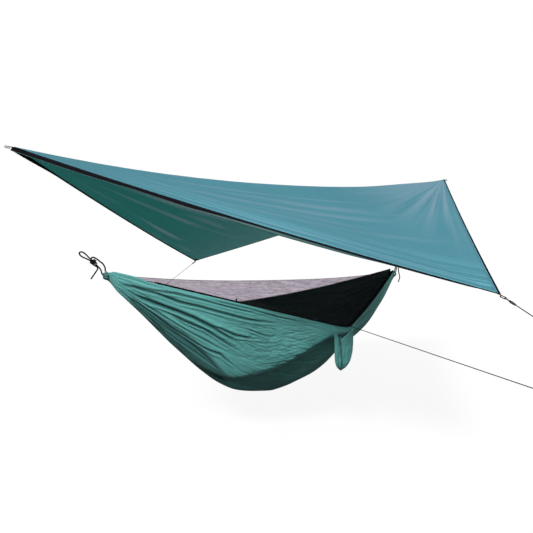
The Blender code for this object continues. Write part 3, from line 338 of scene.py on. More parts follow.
def plastic_material():
    """Moulded black plastic with a fine grain and rubbed places."""
    g = Surface("moulded_plastic", (0.012, 0.012, 0.013), 0.42)
    where = g.coordinate("Object")
    grain, wear = g.noise(where, 900.0, 3.0), g.noise(where, 120.0, 5.0)
    g.set(Base_Color=g.tint(wear**3.0, (0.010, 0.010, 0.011), (0.06, 0.06, 0.062)), Roughness=grain * 0.2 + 0.32)
    g.bump(grain, 0.4, 0.0001)
    return g.material


TARP_BLUE, DRAWN_HIGHLIGHT_COLOUR = ((0.078, 0.258, 0.330), (0.056, 0.218, 0.282)), (0.14, 0.42, 0.53)
TARP_TOP = tarp_material("tarp_outside", *TARP_BLUE, (0.27, 0.36, 0.45), 0.3, 0.75, (3.0, 5.2), 0.25,
                         ((0.5, 0.9, 0.88), (0.8, 0.95, 0.95)))
TARP_UNDER = tarp_material("tarp_inside", (0.058, 0.243, 0.213), (0.085, 0.20, 0.20), (0.32, 0.34, 0.38), 1.0, 0.0,
                           (1.6, 3.6), 0.5, ((0.10, 0.48, 0.44), (0.58, 0.66, 0.72)))
TARP_EDGE = cloth_material("tarp_edge", *TARP_BLUE, 0.001)
# Painted shade: the turned-out inner side of the near foot hem is drawn in a much darker copy of the underside's
# colour, as if in shadow
TURNED_HEM_PAINTED_SHADE = cloth_material("turned_hem_painted_shade", (0.014, 0.070, 0.068), (0.008, 0.05, 0.048), 0.001)
HAMMOCK_OUT = cloth_material("hammock_outside", (0.118, 0.370, 0.350), (0.085, 0.295, 0.28), 0.0012, pleated=True)
# Painted shade: the hammock's inside is drawn in a far darker copy of its green cloth, as if always in shadow
HAMMOCK_IN_PAINTED_SHADE = cloth_material("hammock_inside_painted_shade", (0.035, 0.065, 0.06), (0.022, 0.045, 0.041), 0.0016, 0.6)
# Painted shade: the gathered end sleeves are drawn in a darker copy of the hammock cloth, for the shade in their tight
# pleats
GATHERED_PAINTED_SHADE = cloth_material("gathered_hem_painted_shade", (0.052, 0.170, 0.160), (0.03, 0.11, 0.103), 0.0016)
POUCH_OUT = cloth_material("pouch_outside", (0.074, 0.243, 0.228), (0.052, 0.18, 0.17), 0.0016)
# Painted shade: the pouch's inside is drawn in a darker copy of its cloth, as if in shadow
POUCH_IN_PAINTED_SHADE = cloth_material("pouch_inside_painted_shade", (0.035, 0.115, 0.108), (0.022, 0.08, 0.075), 0.0016)
CHANNEL = cloth_material("pouch_hem", (0.125, 0.365, 0.335), (0.09, 0.28, 0.26), 0.0016)
BLACK_TAPE = webbing_material("black_webbing", (0.0065, 0.0055, 0.009), (0.0025, 0.002, 0.0035), (0.003, 0.015))
GREY_TAPE = webbing_material("grey_webbing", (0.09, 0.08, 0.09), (0.04, 0.035, 0.04))
PALE_TAPE = webbing_material("pale_webbing", (0.42, 0.40, 0.42), (0.25, 0.24, 0.25))
NET_CLOTH, PLASTIC = net_material(), plastic_material()
DARK_CORD = ((0.011, 0.008, 0.015), (0.003, 0.002, 0.004))
GREY_CORD = ((0.035, 0.032, 0.038), (0.012, 0.010, 0.014))


# Building blocks


def wander(x, y, z):
    return noise.noise(Vector((x, y, z)))


def arch(share):
    """The curve of a sag: 0 at both ends and 1 in the middle."""
    return 4 * share * (1 - share)


def sheet(name, rows, columns, place, size, thickness, outside, inside=None, up=None, loop=False, shade=None):
    """A thin cloth from a rule, with its sizes in metres as its texture coordinates."""
    wide = columns + (not loop)
    spots = [(i / rows, j / columns) for i in range(rows + 1) for j in range(wide)]
    faces, uvs = [], []
    for i in range(rows):
        for j in range(columns):
            k = (j + 1) % wide
            faces.append((i * wide + j, (i + 1) * wide + j, (i + 1) * wide + k, i * wide + k))
            corners = ((i, j), (i + 1, j), (i + 1, j + 1), (i, j + 1))
            uvs += [(size[0] * a / rows, size[1] * b / columns) for a, b in corners]
    mesh = bpy.data.meshes.new(name)
    mesh.from_pydata([tuple(place(*spot)) for spot in spots], [], faces)
    layer = mesh.uv_layers.new(name="UVMap")
    for k, uv in enumerate(uvs):
        layer.data[k].uv = uv
    # A per-point painted shade, which cloth_material darkens the colour by
    if shade:
        dark = mesh.attributes.new("shade", "FLOAT", "POINT")
        dark.data.foreach_set("value", [shade(*spot) for spot in spots])
    if up is not None and mesh.polygons[len(faces) // 2 + columns // 2].normal.dot(up) < 0:
        mesh.flip_normals()
    mesh.shade_smooth()
    for material in (outside, inside or outside):
        mesh.materials.append(material)
    made = link(bpy.data.objects.new(name, mesh))
    solid = made.modifiers.new("thickness", "SOLIDIFY")
    solid.thickness, solid.offset, solid.material_offset = thickness, 0, 1 if inside else 0
    return made


def measured(points):
    """How far along a route each of its points is."""
    run = [0.0]
    for a, b in zip(points, points[1:]):
        run.append(run[-1] + math.dist(a, b))
    return run


def run_length(points):
    return measured(points)[-1]


def locate(stations, at):
    """The stretch of a row of stations that holds a number, and its share of that stretch."""
    k = min(max(bisect_left(stations, at) - 1, 0), len(stations) - 2)
    return k, (at - stations[k]) / ((stations[k + 1] - stations[k]) or 1.0)


def smooth_path(points, count):
    """Evenly spaced points on a smooth curve through a route's own points."""
    route, steps = [Vector(p) for p in points], 24
    route = [2 * route[0] - route[1]] + route + [2 * route[-1] - route[-2]]
    fine = []
    for p0, p1, p2, p3 in zip(route, route[1:], route[2:], route[3:]):
        for t in (i / steps for i in range(steps)):
            bend = (2 * p0 - 5 * p1 + 4 * p2 - p3) * t**2
            fine.append(0.5 * (2 * p1 + (p2 - p0) * t + bend + (3 * p1 - p0 - 3 * p2 + p3) * t**3))
    fine.append(route[-2])
    run, spaced = measured(fine), []
    for i in range(count):
        k, share = locate(run, run[-1] * i / (count - 1))
        spaced.append(fine[k].lerp(fine[k + 1], share))
    return spaced


def hairpin(origin, axes, table, tip, first=1):
    """A route out, round a tip and back: distances along the axes, with the last axis turned round on one leg."""

    def leg(sign):
        return [sum((axis * x for axis, x in zip(axes[:-1], row)), origin) + axes[-1] * sign * row[-1] for row in table]

    return leg(first) + [tip] + leg(-first)[::-1]


def tube(name, points, diameter, colours, resolution=3):
    """A cord: a round curve through given points, with a braided sheath."""
    curve = bpy.data.curves.new(name, "CURVE")
    curve.dimensions = "3D"
    curve.bevel_depth = diameter / 2
    curve.bevel_resolution = resolution
    curve.use_fill_caps = True
    spline = curve.splines.new("POLY")
    spline.points.add(len(points) - 1)
    for p, co in zip(spline.points, points):
        p.co = (*co, 1)
    spline.use_smooth = True
    curve.materials.append(cord_material(name + "_braid", *colours, run_length(points), diameter))
    return link(bpy.data.objects.new(name, curve))


def stand_for(piece, body, slot, *nodes):
    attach(piece, body)
    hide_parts(*nodes)


# Tarp


def corner(side):
    return Vector((SIDE_X, side * SIDE_Y, SIDE_Z))


SIDE = (corner(-1) - A).length


def hem_streaks(u, v):
    """Long shallow tension folds that run beside the foot hems."""
    low, high = min(u, v), max(u, v)
    seed = 3.0 if v < u else 11.0
    fold = wander(high * 1.3, low * 24.0, seed) + 0.5 * wander(high * 2.0, low * 55.0, seed + 5)
    return 0.0048 * fold * swell(high, 0.0, 0.25, 0.75, 1.0) * math.exp(-low / 0.24)


def head_folds(u, v):
    """Folds that fan out from the head corner."""
    reach = math.hypot(1 - u, 1 - v)
    if reach < 1e-6:
        return 0.0
    turn, away = math.atan2(1 - v, 1 - u) / (math.pi / 2), SIDE * reach
    fold = wander(turn * 9.0, away * 0.8, 21.0) + 0.4 * wander(turn * 21.0, away, 4.0)
    return 0.018 * fold * swell(away, 0.02, 0.25, 0.35, 1.3) * math.sin(math.pi * turn) ** 0.7


def canopy_point(u, v, folds=1.0):
    """A point of the tarp: u runs from the foot corner to the near one, v from it to the far one."""
    along, across = u + v - 1, v - u
    reach = max(1 - abs(along), 1e-9)
    share = min(abs(across) / reach, 1.0)
    ridge = A.lerp(C, (along + 1) / 2)
    ridge.z -= RIDGE_SAG * (1 - abs(along) ** 2.2)
    hem = (A if along < 0 else C).lerp(corner(1 if across > 0 else -1), reach)
    hem.z -= HEM_SAG * arch(reach)
    point = ridge.lerp(hem, share)
    point.z -= PANEL_SAG * arch(share) * reach
    point.z += folds * (hem_streaks(u, v) + head_folds(u, v)) * smooth(0.0, 0.02, min(u, v, 1 - u, 1 - v))
    return point


HEM_SHARE, GAP_SHARE = HEM_WIDTH / SIDE, GAP / SIDE
HEM_COLUMNS, HEM_THICKNESS = 6, 0.0014


def inside(value, margin):
    return min(max(value, margin), 1 - margin)


def canopy_place(s, t):
    margin = HEM_SHARE + GAP_SHARE
    return canopy_point(mix(margin, 1 - margin, s), mix(margin, 1 - margin, t))


canopy = sheet("tarp_sheet", 150, 150, canopy_place, (SIDE, SIDE), CLOTH, TARP_TOP, TARP_UNDER, UP)
stand_for(canopy, "tarp", "tarp_cloth", "tarp_canopy")


def tip_droop(run):
    """The doubled tape that hangs from both foot hems beside their corner."""
    return 0.021 * smooth(0.16, 0.0, run)


def droop(run):
    """How far the near foot hem's outer edge hangs below the cloth beside it."""
    cell = 1 / 24
    bow = max(math.sin(math.pi * min(max((run - cell) / (1 - 2 * cell), 0.0), 1.0)), 0.0)
    plain = (0.015 * bow**0.3 + 0.009 * bow**3) * (1 - 0.45 * smooth(0.72, 0.82, run))
    return max(plain, tip_droop(run), 0.026 * smooth(0.5, 0.15, run))


def black_share(run):
    """Where the black tape ends and the turned-out inner side of the cloth starts."""
    black = mix(0.034, 0.0175, swell(run, 0.25, 0.6, 0.78, 0.92))
    return 1 - min(black / math.hypot(HEM_WIDTH, droop(run)), 0.94)


# Route of each hem, how it hangs, and the cloth and columns that show beside its black tape
HEMS = {
    "hem_near_foot": (lambda run, inset: (run, inset), droop, TURNED_HEM_PAINTED_SHADE, (0, 1, 2)),
    "hem_near_head": (lambda run, inset: (1 - inset, run), None, TARP_EDGE, (4, 5)),
    "hem_far_foot": (lambda run, inset: (inset, run), tip_droop, None, ()),
    "hem_far_head": (lambda run, inset: (run, 1 - inset), None, TARP_EDGE, (4, 5)),
}
for hem_name, (route, hang, beside, columns) in HEMS.items():

    def place(s, t, route=route, hang=hang):
        if hang is droop:
            t = black_share(s) * t * 2 if t < 0.5 else mix(black_share(s), 1.0, t * 2 - 1)
        point = canopy_point(*route(inside(s, t * HEM_SHARE + GAP_SHARE), t * HEM_SHARE), 0.0)
        point.z -= hang(s) * (1 - t) ** 2 if hang else 0.0
        return point

    hem = sheet(hem_name + "_binding", 110, HEM_COLUMNS, place, (SIDE, HEM_WIDTH), HEM_THICKNESS, BLACK_TAPE)
    if beside:
        hem.data.materials.append(beside)
        for face in hem.data.polygons:
            face.material_index = 2 * (face.index % HEM_COLUMNS in columns)
    stand_for(hem, "tarp", "black_tape", hem_name)

# Of each corner: the tarp's own shares, from those along the corner's two hems
CORNERS = {
    "foot": lambda a, b: (a, b),
    "head": lambda a, b: (1 - a, 1 - b),
    "near": lambda a, b: (1 - a, b),
    "far": lambda a, b: (a, 1 - b),
}
# How steeply the cloth falls beside the ridge's ends
RIDGE_SLOPE = 0.42
PATCH_DROP = (CLOTH / 2 + TAPE / 2 + PATCH_CLEARANCE) * 1.1
for corner_name, route in CORNERS.items():

    def place(s, t, route=route):
        out, spread = mix(0.08, 1.0, s) * PATCH_LEG / SIDE, (2 * t - 1) * 0.96
        point = canopy_point(*route(out * (1 + spread) / 2, out * (1 - spread) / 2), 0.0)
        point.z -= PATCH_DROP
        return point

    patch = sheet("patch_" + corner_name + "_cloth", 10, 10, place, (PATCH_LEG, PATCH_LEG), TAPE, BLACK_TAPE)
    stand_for(patch, "tarp", "black_tape", "patch_" + corner_name)


def corner_frame(name):
    """Where a corner's webbing loop starts, the way it points, and its upper side."""
    route, step = CORNERS[name], PATCH_LEG / SIDE / 2
    tip = canopy_point(*route(0.0, 0.0), 0.0)
    outward = (tip - canopy_point(*route(step, step), 0.0)).normalized()
    side = canopy_point(*route(step, 0.0), 0.0) - canopy_point(*route(0.0, step), 0.0)
    upward = outward.cross(side).normalized()
    if upward.z < 0:
        upward = -upward
    drop = PATCH_DROP + TAPE / 2 + PATCH_CLEARANCE
    if name in ("foot", "head"):
        drop += LOOP_WIDTH / 2 * RIDGE_SLOPE
    return tip - upward * drop, outward, upward


def arc(x, y, radius, start, end, steps=4):
    angles = [math.pi / 2 * mix(start, end, i / steps) for i in range(steps + 1)]
    return [(x + radius * math.cos(a), y + radius * math.sin(a)) for a in angles]


def webbing_loop(name, origin, outward, upward, tape, thickness=LOOP_WALL):
    """A strap folded into a loop: its tab and its two legs, as one bent band."""
    low, wall, r = -LOOP_HEIGHT + LOOP_WALL / 2, LOOP_WALL / 2, LOOP_BEND
    path = [(-LOOP_TAB, -wall), (-LOOP_TAB / 2, -wall), (0.002, -wall)]
    path += arc(LOOP_LENGTH - wall - r, -wall - r, r, 1, 0)
    path += arc(LOOP_LENGTH - wall - r, low + r, r, 0, -1)
    path += arc(wall + r, low + r, r, -1, -2)
    path += [(wall, low + 2 * r), (wall, -wall * 3.4)]
    run, across = measured(path), outward.cross(upward)

    def place(s, t):
        k, share = locate(run, s * run[-1])
        x, y = (mix(path[k][i], path[k + 1][i], share) for i in (0, 1))
        return origin + outward * x + upward * y + across * (t - 0.5) * LOOP_WIDTH

    return sheet(name, 48, 4, place, (run[-1], LOOP_WIDTH), thickness * 0.92, tape)


for corner_name in CORNERS:
    thickness = LOOP_WALL * (1 if corner_name in ("near", "far") else 2)
    strap = webbing_loop("strap_" + corner_name, *corner_frame(corner_name), BLACK_TAPE, thickness)
    stand_for(strap, "tarp", "black_tape", "loop_" + corner_name)


# Guylines


def eye_route(centre, pull, side, direction):
    """The bight that ties a guyline to its webbing loop, and the point where its legs meet."""
    wing, neck = LOOP_WIDTH / 2 + CORD_CLEARANCE * 2 + EYE_CORD / 2, EYE_CORD / 2 + CORD_CLEARANCE
    thick = LOOP_WALL + 2 * CORD_CLEARANCE + EYE_CORD
    far = thick + EYE_LENGTH
    table = ((far, 0, neck), (far - EYE_CORD * 2, 0, neck), (thick + EYE_LENGTH / 3, 0, mix(neck, wing, 0.8)),
             (0, thick, wing), (0, thick / 3, wing), (0, 0, wing * 0.6))
    return smooth_path(hairpin(centre, (direction, pull, side), table, centre), 44), centre + direction * far


def wound_knot(name, start, direction, colours):
    """Turns of cord wound tight, in the place of the CAD's turned knot, and the point where it ends."""
    side = direction.orthogonal().normalized()
    other, cord = direction.cross(side), KNOT_LENGTH / 3.3
    radius, points = KNOT_RADIUS - cord / 2, []
    for i in range(43):
        angle, along = 2 * math.pi * i / 14, mix(cord / 2, KNOT_LENGTH - cord / 2, i / 42) + GAP
        points.append(start + direction * along + (side * math.cos(angle) + other * math.sin(angle)) * radius)
    points[0] -= (points[0] - start - direction * (cord / 2 + GAP)) * 0.5
    points[-1] -= (points[-1] - start - direction * (KNOT_LENGTH - cord / 2 + GAP)) * 0.5
    return tube(name, points, cord, colours, 2), start + direction * (GAP + KNOT_LENGTH)


def end_loop_route(start, direction, side):
    neck, first = GUY_CORD / 2 + CORD_CLEARANCE, start + direction * GAP
    shape = ((0.45, 0.42), (0.8, 0.47))
    table = [(0.0, neck), (GUY_CORD, neck)] + [(END_LOOP_LENGTH * a, END_LOOP_WIDTH * b) for a, b in shape]
    return smooth_path(hairpin(first, (direction, side), table, first + direction * END_LOOP_LENGTH), 34)


def guyline(prefix, body, centre, pull, side, direction, length, colours, slot):
    """Everything from a webbing loop out to the loop that a peg or tree holds."""
    route, end = eye_route(centre, pull, side, direction)
    stand_for(tube(prefix + "_bight", route, EYE_CORD, DARK_CORD), body, "black_rope", prefix + "_eye")
    knot, start = wound_knot(prefix + "_hitch", end, direction, DARK_CORD)
    stand_for(knot, body, "black_rope", prefix + "_knot")
    first = start + direction * GAP
    line = [first + direction * length * i / 39 for i in range(40)]
    cord = tube(prefix + "_line", line, GUY_CORD, colours)
    stand_for(cord, body, slot, prefix + "_cord")
    end_knot, finish = wound_knot(prefix + "_end_hitch", line[-1], direction, colours)
    stand_for(end_knot, body, "black_rope", prefix + "_end_knot")
    loop = tube(prefix + "_peg_loop", end_loop_route(finish, direction, side), GUY_CORD, colours)
    stand_for(loop, body, "grey_cord", prefix + "_end_loop")


def guy_direction(side, drop):
    return Vector((0.0, side, -drop)).normalized()


for prefix, side, length, drop in (("near", -1, 0.165, 0.51), ("far", 1, 1.10, 0.363)):
    origin, outward, upward = corner_frame(prefix)
    back = LOOP_LENGTH - LOOP_WALL - CORD_CLEARANCE - EYE_CORD / 2
    centre = origin + outward * back - upward * LOOP_HEIGHT / 2
    guyline(prefix + "_guy", "tarp", centre, outward, outward.cross(upward), guy_direction(side, drop), length,
            GREY_CORD, "grey_cord")


# Hammock

ROWS, MIDDLE_ROW = 20, 12


def row_share(row, middle):
    if row <= MIDDLE_ROW:
        return mix(FOOT_X, middle, (row / MIDDLE_ROW) ** 1.2)
    return mix(HEAD_X, middle, ((ROWS - row) / (ROWS - MIDDLE_ROW)) ** 1.2)


def row_x(row, turn):
    return mix(row_share(row, NEAR_CORNER.x), row_share(row, FAR_CORNER.x), turn)


def tent(x, peak_x, rounding=0.06):
    """Two slopes that meet in a rounded peak of height 1."""
    away = (peak_x - x) / (peak_x - FOOT_X) if x < peak_x else (x - peak_x) / (HEAD_X - peak_x)
    top = 1 - rounding / 2
    return (top - away**2 / (2 * rounding)) / top if away < rounding else (1 - away) / top


def length_share(x):
    return (x - FOOT_X) / (HEAD_X - FOOT_X)


def end_line(x):
    return mix(FOOT_RIM_Z, HEAD_RIM_Z, length_share(x))


def rim_point(x, side):
    peak = NEAR_CORNER if side < 0 else FAR_CORNER
    rise = tent(x, peak.x)
    z = end_line(x) + (peak.z - end_line(peak.x)) * rise
    if x > peak.x:
        z -= HEAD_RIM_SAG * arch((x - peak.x) / (HEAD_X - peak.x))
    return Vector((x, side * mix(END_HALF_WIDTH, abs(peak.y), rise), z))


def interpolate(stations, values, at):
    """A smooth curve through a table of shares."""
    last = len(stations) - 1
    k, f = locate(stations, at)
    f, span = min(max(f, 0.0), 1.0), stations[k + 1] - stations[k]

    def slope(i):
        if i in (0, last):
            a, b = max(i - 1, 0), min(i + 1, last)
            return (values[b] - values[a]) / (stations[b] - stations[a])
        before = (values[i] - values[i - 1]) / (stations[i] - stations[i - 1])
        after = (values[i + 1] - values[i]) / (stations[i + 1] - stations[i])
        return 0.0 if before * after <= 0 else 2 * before * after / (before + after)

    ends = (2 * f**3 - 3 * f**2 + 1) * values[k] + (3 * f**2 - 2 * f**3) * values[k + 1]
    return ends + ((f**3 - 2 * f**2 + f) * slope(k) + (f**3 - f**2) * slope(k + 1)) * span


KEEL_STATIONS = (0.0, 0.08, 0.18, 0.30, 0.36, 0.42, 0.47, 0.53, 0.60, 0.70, 0.80, 0.90, 1.0)
KEEL_DEPTHS = (0.172, 0.365, 0.62, 0.88, 0.955, 0.987, 1.0, 0.95, 0.87, 0.775, 0.68, 0.486, 0.27)


def keel_z(x):
    return -KEEL_DEPTH * interpolate(KEEL_STATIONS, KEEL_DEPTHS, length_share(x))


def section_point(x, turn):
    """A point of the smooth cloth: turn runs from the near rim, 0, under the keel to the far rim, 1."""
    angle = math.pi * turn
    edge = rim_point(x, -1 if turn < 0.5 else 1)
    deep = math.sin(angle) ** 1.35 if 0 < turn < 1 else 0.0
    return Vector((x, -abs(edge.y) * math.cos(angle), mix(edge.z, keel_z(x), deep)))


# Creases of the near side: depth, half width, and stations of (length share, girth share)
CREASES = (
    (0.010, 0.014, ((0.10, 0.115), (0.20, 0.058), (0.27, 0.048), (0.34, 0.045), (0.42, 0.042))),
    (0.013, 0.015, ((0.03, 0.23), (0.09, 0.14), (0.155, 0.108), (0.21, 0.108), (0.26, 0.092), (0.33, 0.083),
                    (0.375, 0.08), (0.46, 0.062))),
    (0.010, 0.014, ((0.26, 0.030), (0.38, 0.026), (0.44, 0.034), (0.54, 0.028))),
    (0.022, 0.017, ((0.065, 0.265), (0.165, 0.193), (0.21, 0.17), (0.25, 0.163), (0.30, 0.165), (0.345, 0.177),
                    (0.385, 0.196))),
    (0.012, 0.011, ((0.165, 0.215), (0.23, 0.207), (0.28, 0.192), (0.32, 0.2), (0.36, 0.21), (0.395, 0.215))),
    (0.014, 0.013, ((0.28, 0.168), (0.32, 0.155), (0.355, 0.158), (0.39, 0.15), (0.415, 0.138))),
    (0.009, 0.010, ((0.36, 0.12), (0.39, 0.12), (0.42, 0.125), (0.445, 0.128))),
    (0.013, 0.014, ((0.08, 0.333), (0.145, 0.318), (0.20, 0.31), (0.28, 0.285), (0.33, 0.263), (0.365, 0.278),
                    (0.395, 0.295))),
    (0.011, 0.013, ((0.07, 0.365), (0.135, 0.41), (0.195, 0.385), (0.26, 0.357), (0.34, 0.333), (0.375, 0.343))),
    (0.009, 0.012, ((0.04, 0.335), (0.12, 0.422), (0.19, 0.46), (0.25, 0.445), (0.33, 0.42))),
    (0.009, 0.011, ((0.05, 0.30), (0.12, 0.27), (0.20, 0.255), (0.29, 0.24), (0.36, 0.24))),
    (0.006, 0.008, ((0.435, 0.152), (0.47, 0.117))),
    (0.006, 0.008, ((0.45, 0.17), (0.495, 0.13))),
    (0.005, 0.008, ((0.43, 0.228), (0.475, 0.198))),
    (0.005, 0.009, ((0.41, 0.278), (0.46, 0.228))),
    (0.006, 0.009, ((0.48, 0.13), (0.55, 0.052))),
    (0.005, 0.008, ((0.46, 0.107), (0.535, 0.045))),
    (0.005, 0.008, ((0.445, 0.198), (0.505, 0.145))),
    (0.008, 0.018, ((0.62, 0.05), (0.75, 0.09), (0.88, 0.14), (0.97, 0.2))),
    (0.007, 0.016, ((0.60, 0.13), (0.74, 0.17), (0.88, 0.23), (0.97, 0.28))),
)
CREASE_SHARPNESS, CREASE_GAIN = 0.62, 1.2
# Line where the foot half turns under: (length share, girth share)
UNDER = ((0.0, 0.38), (0.05, 0.345), (0.10, 0.288), (0.15, 0.270), (0.24, 0.256), (0.30, 0.272), (0.36, 0.32))
UNDER_WIDTH, UNDER_HEIGHT, UNDER_DEPTH = 0.045, 0.014, 0.030
# Line where the hanging side turns under into the belly: the fold's height, and the hollow beyond it
BELLY = ((0.22, 0.42), (0.30, 0.38), (0.37, 0.325), (0.41, 0.268), (0.48, 0.185), (0.515, 0.13), (0.56, 0.05),
         (0.62, 0.0))
FOLD_HEIGHT, FOLD_WIDTH, HOLLOW_DEPTH, HOLLOW_START, HOLLOW_END = 0.032, 0.14, 0.050, 0.20, 1.1
# How high the near rim's cloth is bunched up beside the foot end, and how much narrower than the CAD's that end
# is drawn together over a share of the length
ROLL_HEIGHT, FOOT_NECK, NECK_END = 0.016, 0.84, 0.05
# Share of the mesh's columns that lie on the near side, where the creases are, and their pace round the girth
NEAR_COLUMNS, NEAR_PACE = 0.695, 0.72


def valley(value):
    """Rounded crests with sharp furrows between them."""
    return 1 - 2 * math.exp(-abs(value) * 6)


def gathers(s, turn):
    """Pleats that spread from both gathered ends, deeper where they start."""
    foot, head = swell(s, 0.0, 0.05, 0.30, 0.72), swell(1 - s, 0.0, 0.05, 0.12, 0.42)
    drift = 0.35 * wander(s * 2.2, turn * 2.0, 1.5)
    big = wander(turn * 13 + drift, s * 1.6, 2.0)
    small = wander(turn * 34 + drift * 2, s * 2.6, 7.0)
    fine = wander(turn * 70 + drift * 3, s * 3.4, 9.0)
    height = (0.55 * valley(big * 1.3) + 0.3 * valley(small * 1.5) + 0.15 * valley(fine * 1.5)) * 0.5
    calm = 1 - 0.55 * swell(s, 0.10, 0.2, 0.4, 0.5) * smooth(0.45, 0.35, turn)
    return (0.015 * foot * calm + 0.013 * head) * height + 0.002 * (1 - max(foot, head)) * big


def crumples(s, turn):
    """Small creases in the slack middle of both sides."""
    side = min(turn, 1 - turn)
    slant = Vector((s * 34.0 + side * 30.0, side * 40.0 - s * 8.0, 3.3))
    folds = valley(noise.noise(slant) * 1.2) + 0.6 * valley(noise.noise(slant * 2.1) * 1.2)
    return 0.0038 * hump(s - 0.45, 0.12) * hump(side - 0.15, 0.10) * folds


def along_line(line, s):
    k = 0
    while k < len(line) - 2 and s > line[k + 1][0]:
        k += 1
    (s0, t0), (s1, t1) = line[k], line[k + 1]
    return mix(t0, t1, (s - s0) / (s1 - s0))


def near_creases(s, turn, girth, end_share, end_length):
    """Depth of each crease near a place, how many half widths off it is, and how much of it is there."""
    for depth, width, line in CREASES:
        first, last = line[0][0], line[-1][0]
        if not first < s < last:
            continue
        off = (turn - along_line(line, s)) * girth / (width * CREASE_SHARPNESS)
        if abs(off) <= 4:
            ends = min((last - first) * end_share, end_length)
            yield depth, off, swell(s, first, first + ends, last - ends, last)


def creased(s, turn, girth):
    """Sum of the listed creases and of the broad edge where the belly turns under."""
    height = 0.0
    for depth, off, there in near_creases(s, turn, girth, 0.35, 0.08):
        furrow = math.exp(-(off**2) * (3.0 if off > 0 else 1.0))
        lip = 0.55 * hump(off - 1.5) + 0.3 * math.exp(-((off + 2) ** 2) / 2)
        height += CREASE_GAIN * depth * there * (lip - furrow)
    return height + belly(s, turn, girth) + underside(s, turn, girth)


def underside(s, turn, girth):
    """The edge along which the gathered foot half turns under, with a hollow beneath it."""
    if turn > 0.5 or s > UNDER[-1][0]:
        return 0.0
    size = min(girth / 1.5, 1.0)
    off = (turn - along_line(UNDER, s)) * girth / (UNDER_WIDTH * size)
    there = swell(s, 0.02, 0.08, 0.26, UNDER[-1][0]) * smooth(0.5, 0.45, turn) * size
    return there * (UNDER_HEIGHT * hump(off) - UNDER_DEPTH * math.exp(-((off - 1.9) ** 2) / 1.2))


def belly(s, turn, girth):
    """The broad fold where the belly turns under, and the hollow cloth on its head side."""
    if s < BELLY[0][0] or turn > 0.66:
        return 0.0
    off = (turn - along_line(BELLY, s)) * girth
    past = smooth(0.53, 0.66, s)
    there = swell(s, BELLY[0][0], 0.34, 0.62, 0.9) * smooth(mix(0.49, 0.66, past), mix(0.40, 0.5, past), turn)
    if off < 0:
        return FOLD_HEIGHT * there * hump(off, FOLD_WIDTH)
    low = -HOLLOW_DEPTH * smooth(HOLLOW_END, HOLLOW_START, off)
    return there * mix(FOLD_HEIGHT, low, smooth(0.0, HOLLOW_START, off))


def crease_shade(s, turn):
    """Painted shade: how much darker the cloth is drawn, from 0 to 1, in a crease's floor, where the side turns under,
    in the belly's hollow, over the middle of the near side and at the foot's neck.
    """
    if turn > 0.62:
        return 0.0
    girth, dark = girth_at(s), 0.0
    for depth, off, there in near_creases(s, turn, girth, 0.3, 0.06):
        dark = max(dark, min(depth / 0.012, 1.0) * there * hump(off / 0.68 - 0.15))
    # Painted shade below the line where the foot half turns under, with darker pleat lines in it
    under = (turn - along_line(UNDER, min(s, UNDER[-1][0]))) * girth
    side = smooth(0.0, 0.06, under) * swell(s, 0.04, 0.12, 0.36, 0.45)
    # Painted shade in the hollow beyond the belly's fold
    below = (turn - along_line(BELLY, s)) * girth if s > BELLY[0][0] else 0.0
    hollow = smooth(0.04, 0.2, below) * swell(s, BELLY[0][0], 0.30, 0.75, 1.0)
    pleats = side * 0.35 * smooth(0.12, 0.0, abs(wander(turn * 46, s * 2.4, 3.7)))
    band = max(side * 0.62 + pleats, hollow * 0.38) * smooth(0.62, 0.5, turn)
    # Broad painted shade over the middle of the near side, and painted shade in the pleats at the foot's neck
    drop = 0.27 * swell(s, 0.26, 0.44, 0.66, 0.8) * smooth(0.5, 0.42, turn)
    neck = 0.5 * smooth(0.04, 0.0, s) * smooth(0.2, 0.0, abs(wander(turn * 30, 0.5, 8.0)))
    return max(0.9 * dark, band, drop, neck)


@lru_cache(None)
def girth_at(s):
    """Length of the hammock's cross-section from rim to rim."""
    return run_length([section_point(row_x(ROWS * s, k / 24), k / 24) for k in range(25)])


def hammock_point(s, turn):
    """A point of the cloth: s runs from the foot end to the head end, turn from the near rim to the far one."""
    x, step = row_x(ROWS * s, turn), 0.004
    point = section_point(x, turn)
    if turn >= 1:
        return point
    run = section_point(x, min(turn + step, 1)) - section_point(x, max(turn - step, 0))
    outward = Vector((0.0, run.z, -run.y)).normalized()
    calm = smooth(0.0, 0.035, min(turn, 1 - turn)) * swell(s, 0.0, 0.03, 0.97, 1.0)
    point.z += ROLL_HEIGHT * swell(s, 0.0, 0.03, 0.085, 0.14) * smooth(0.07, 0.0, turn)
    point = point + outward * (gathers(s, turn) + crumples(s, turn) + creased(s, turn, girth_at(s))) * calm
    if s < NECK_END:
        neck = mix(FOOT_NECK, 1.0, smooth(0.0, NECK_END, s))
        point.y, point.z = point.y * neck, mix(FOOT_RIM_Z, point.z, neck)
    return point


def hammock_turn(t):
    if t < NEAR_COLUMNS:
        return t * NEAR_PACE
    return mix(NEAR_COLUMNS * NEAR_PACE, 1.0, (t - NEAR_COLUMNS) / (1 - NEAR_COLUMNS))


hammock = sheet("hammock_body", 400, 330, lambda s, t: hammock_point(s, hammock_turn(t)), (3.2, 1.95), CLOTH,
                HAMMOCK_OUT, HAMMOCK_IN_PAINTED_SHADE, -UP, shade=lambda s, t: crease_shade(s, hammock_turn(t)))
stand_for(hammock, "hammock", "hammock_cloth", "hammock_cloth")


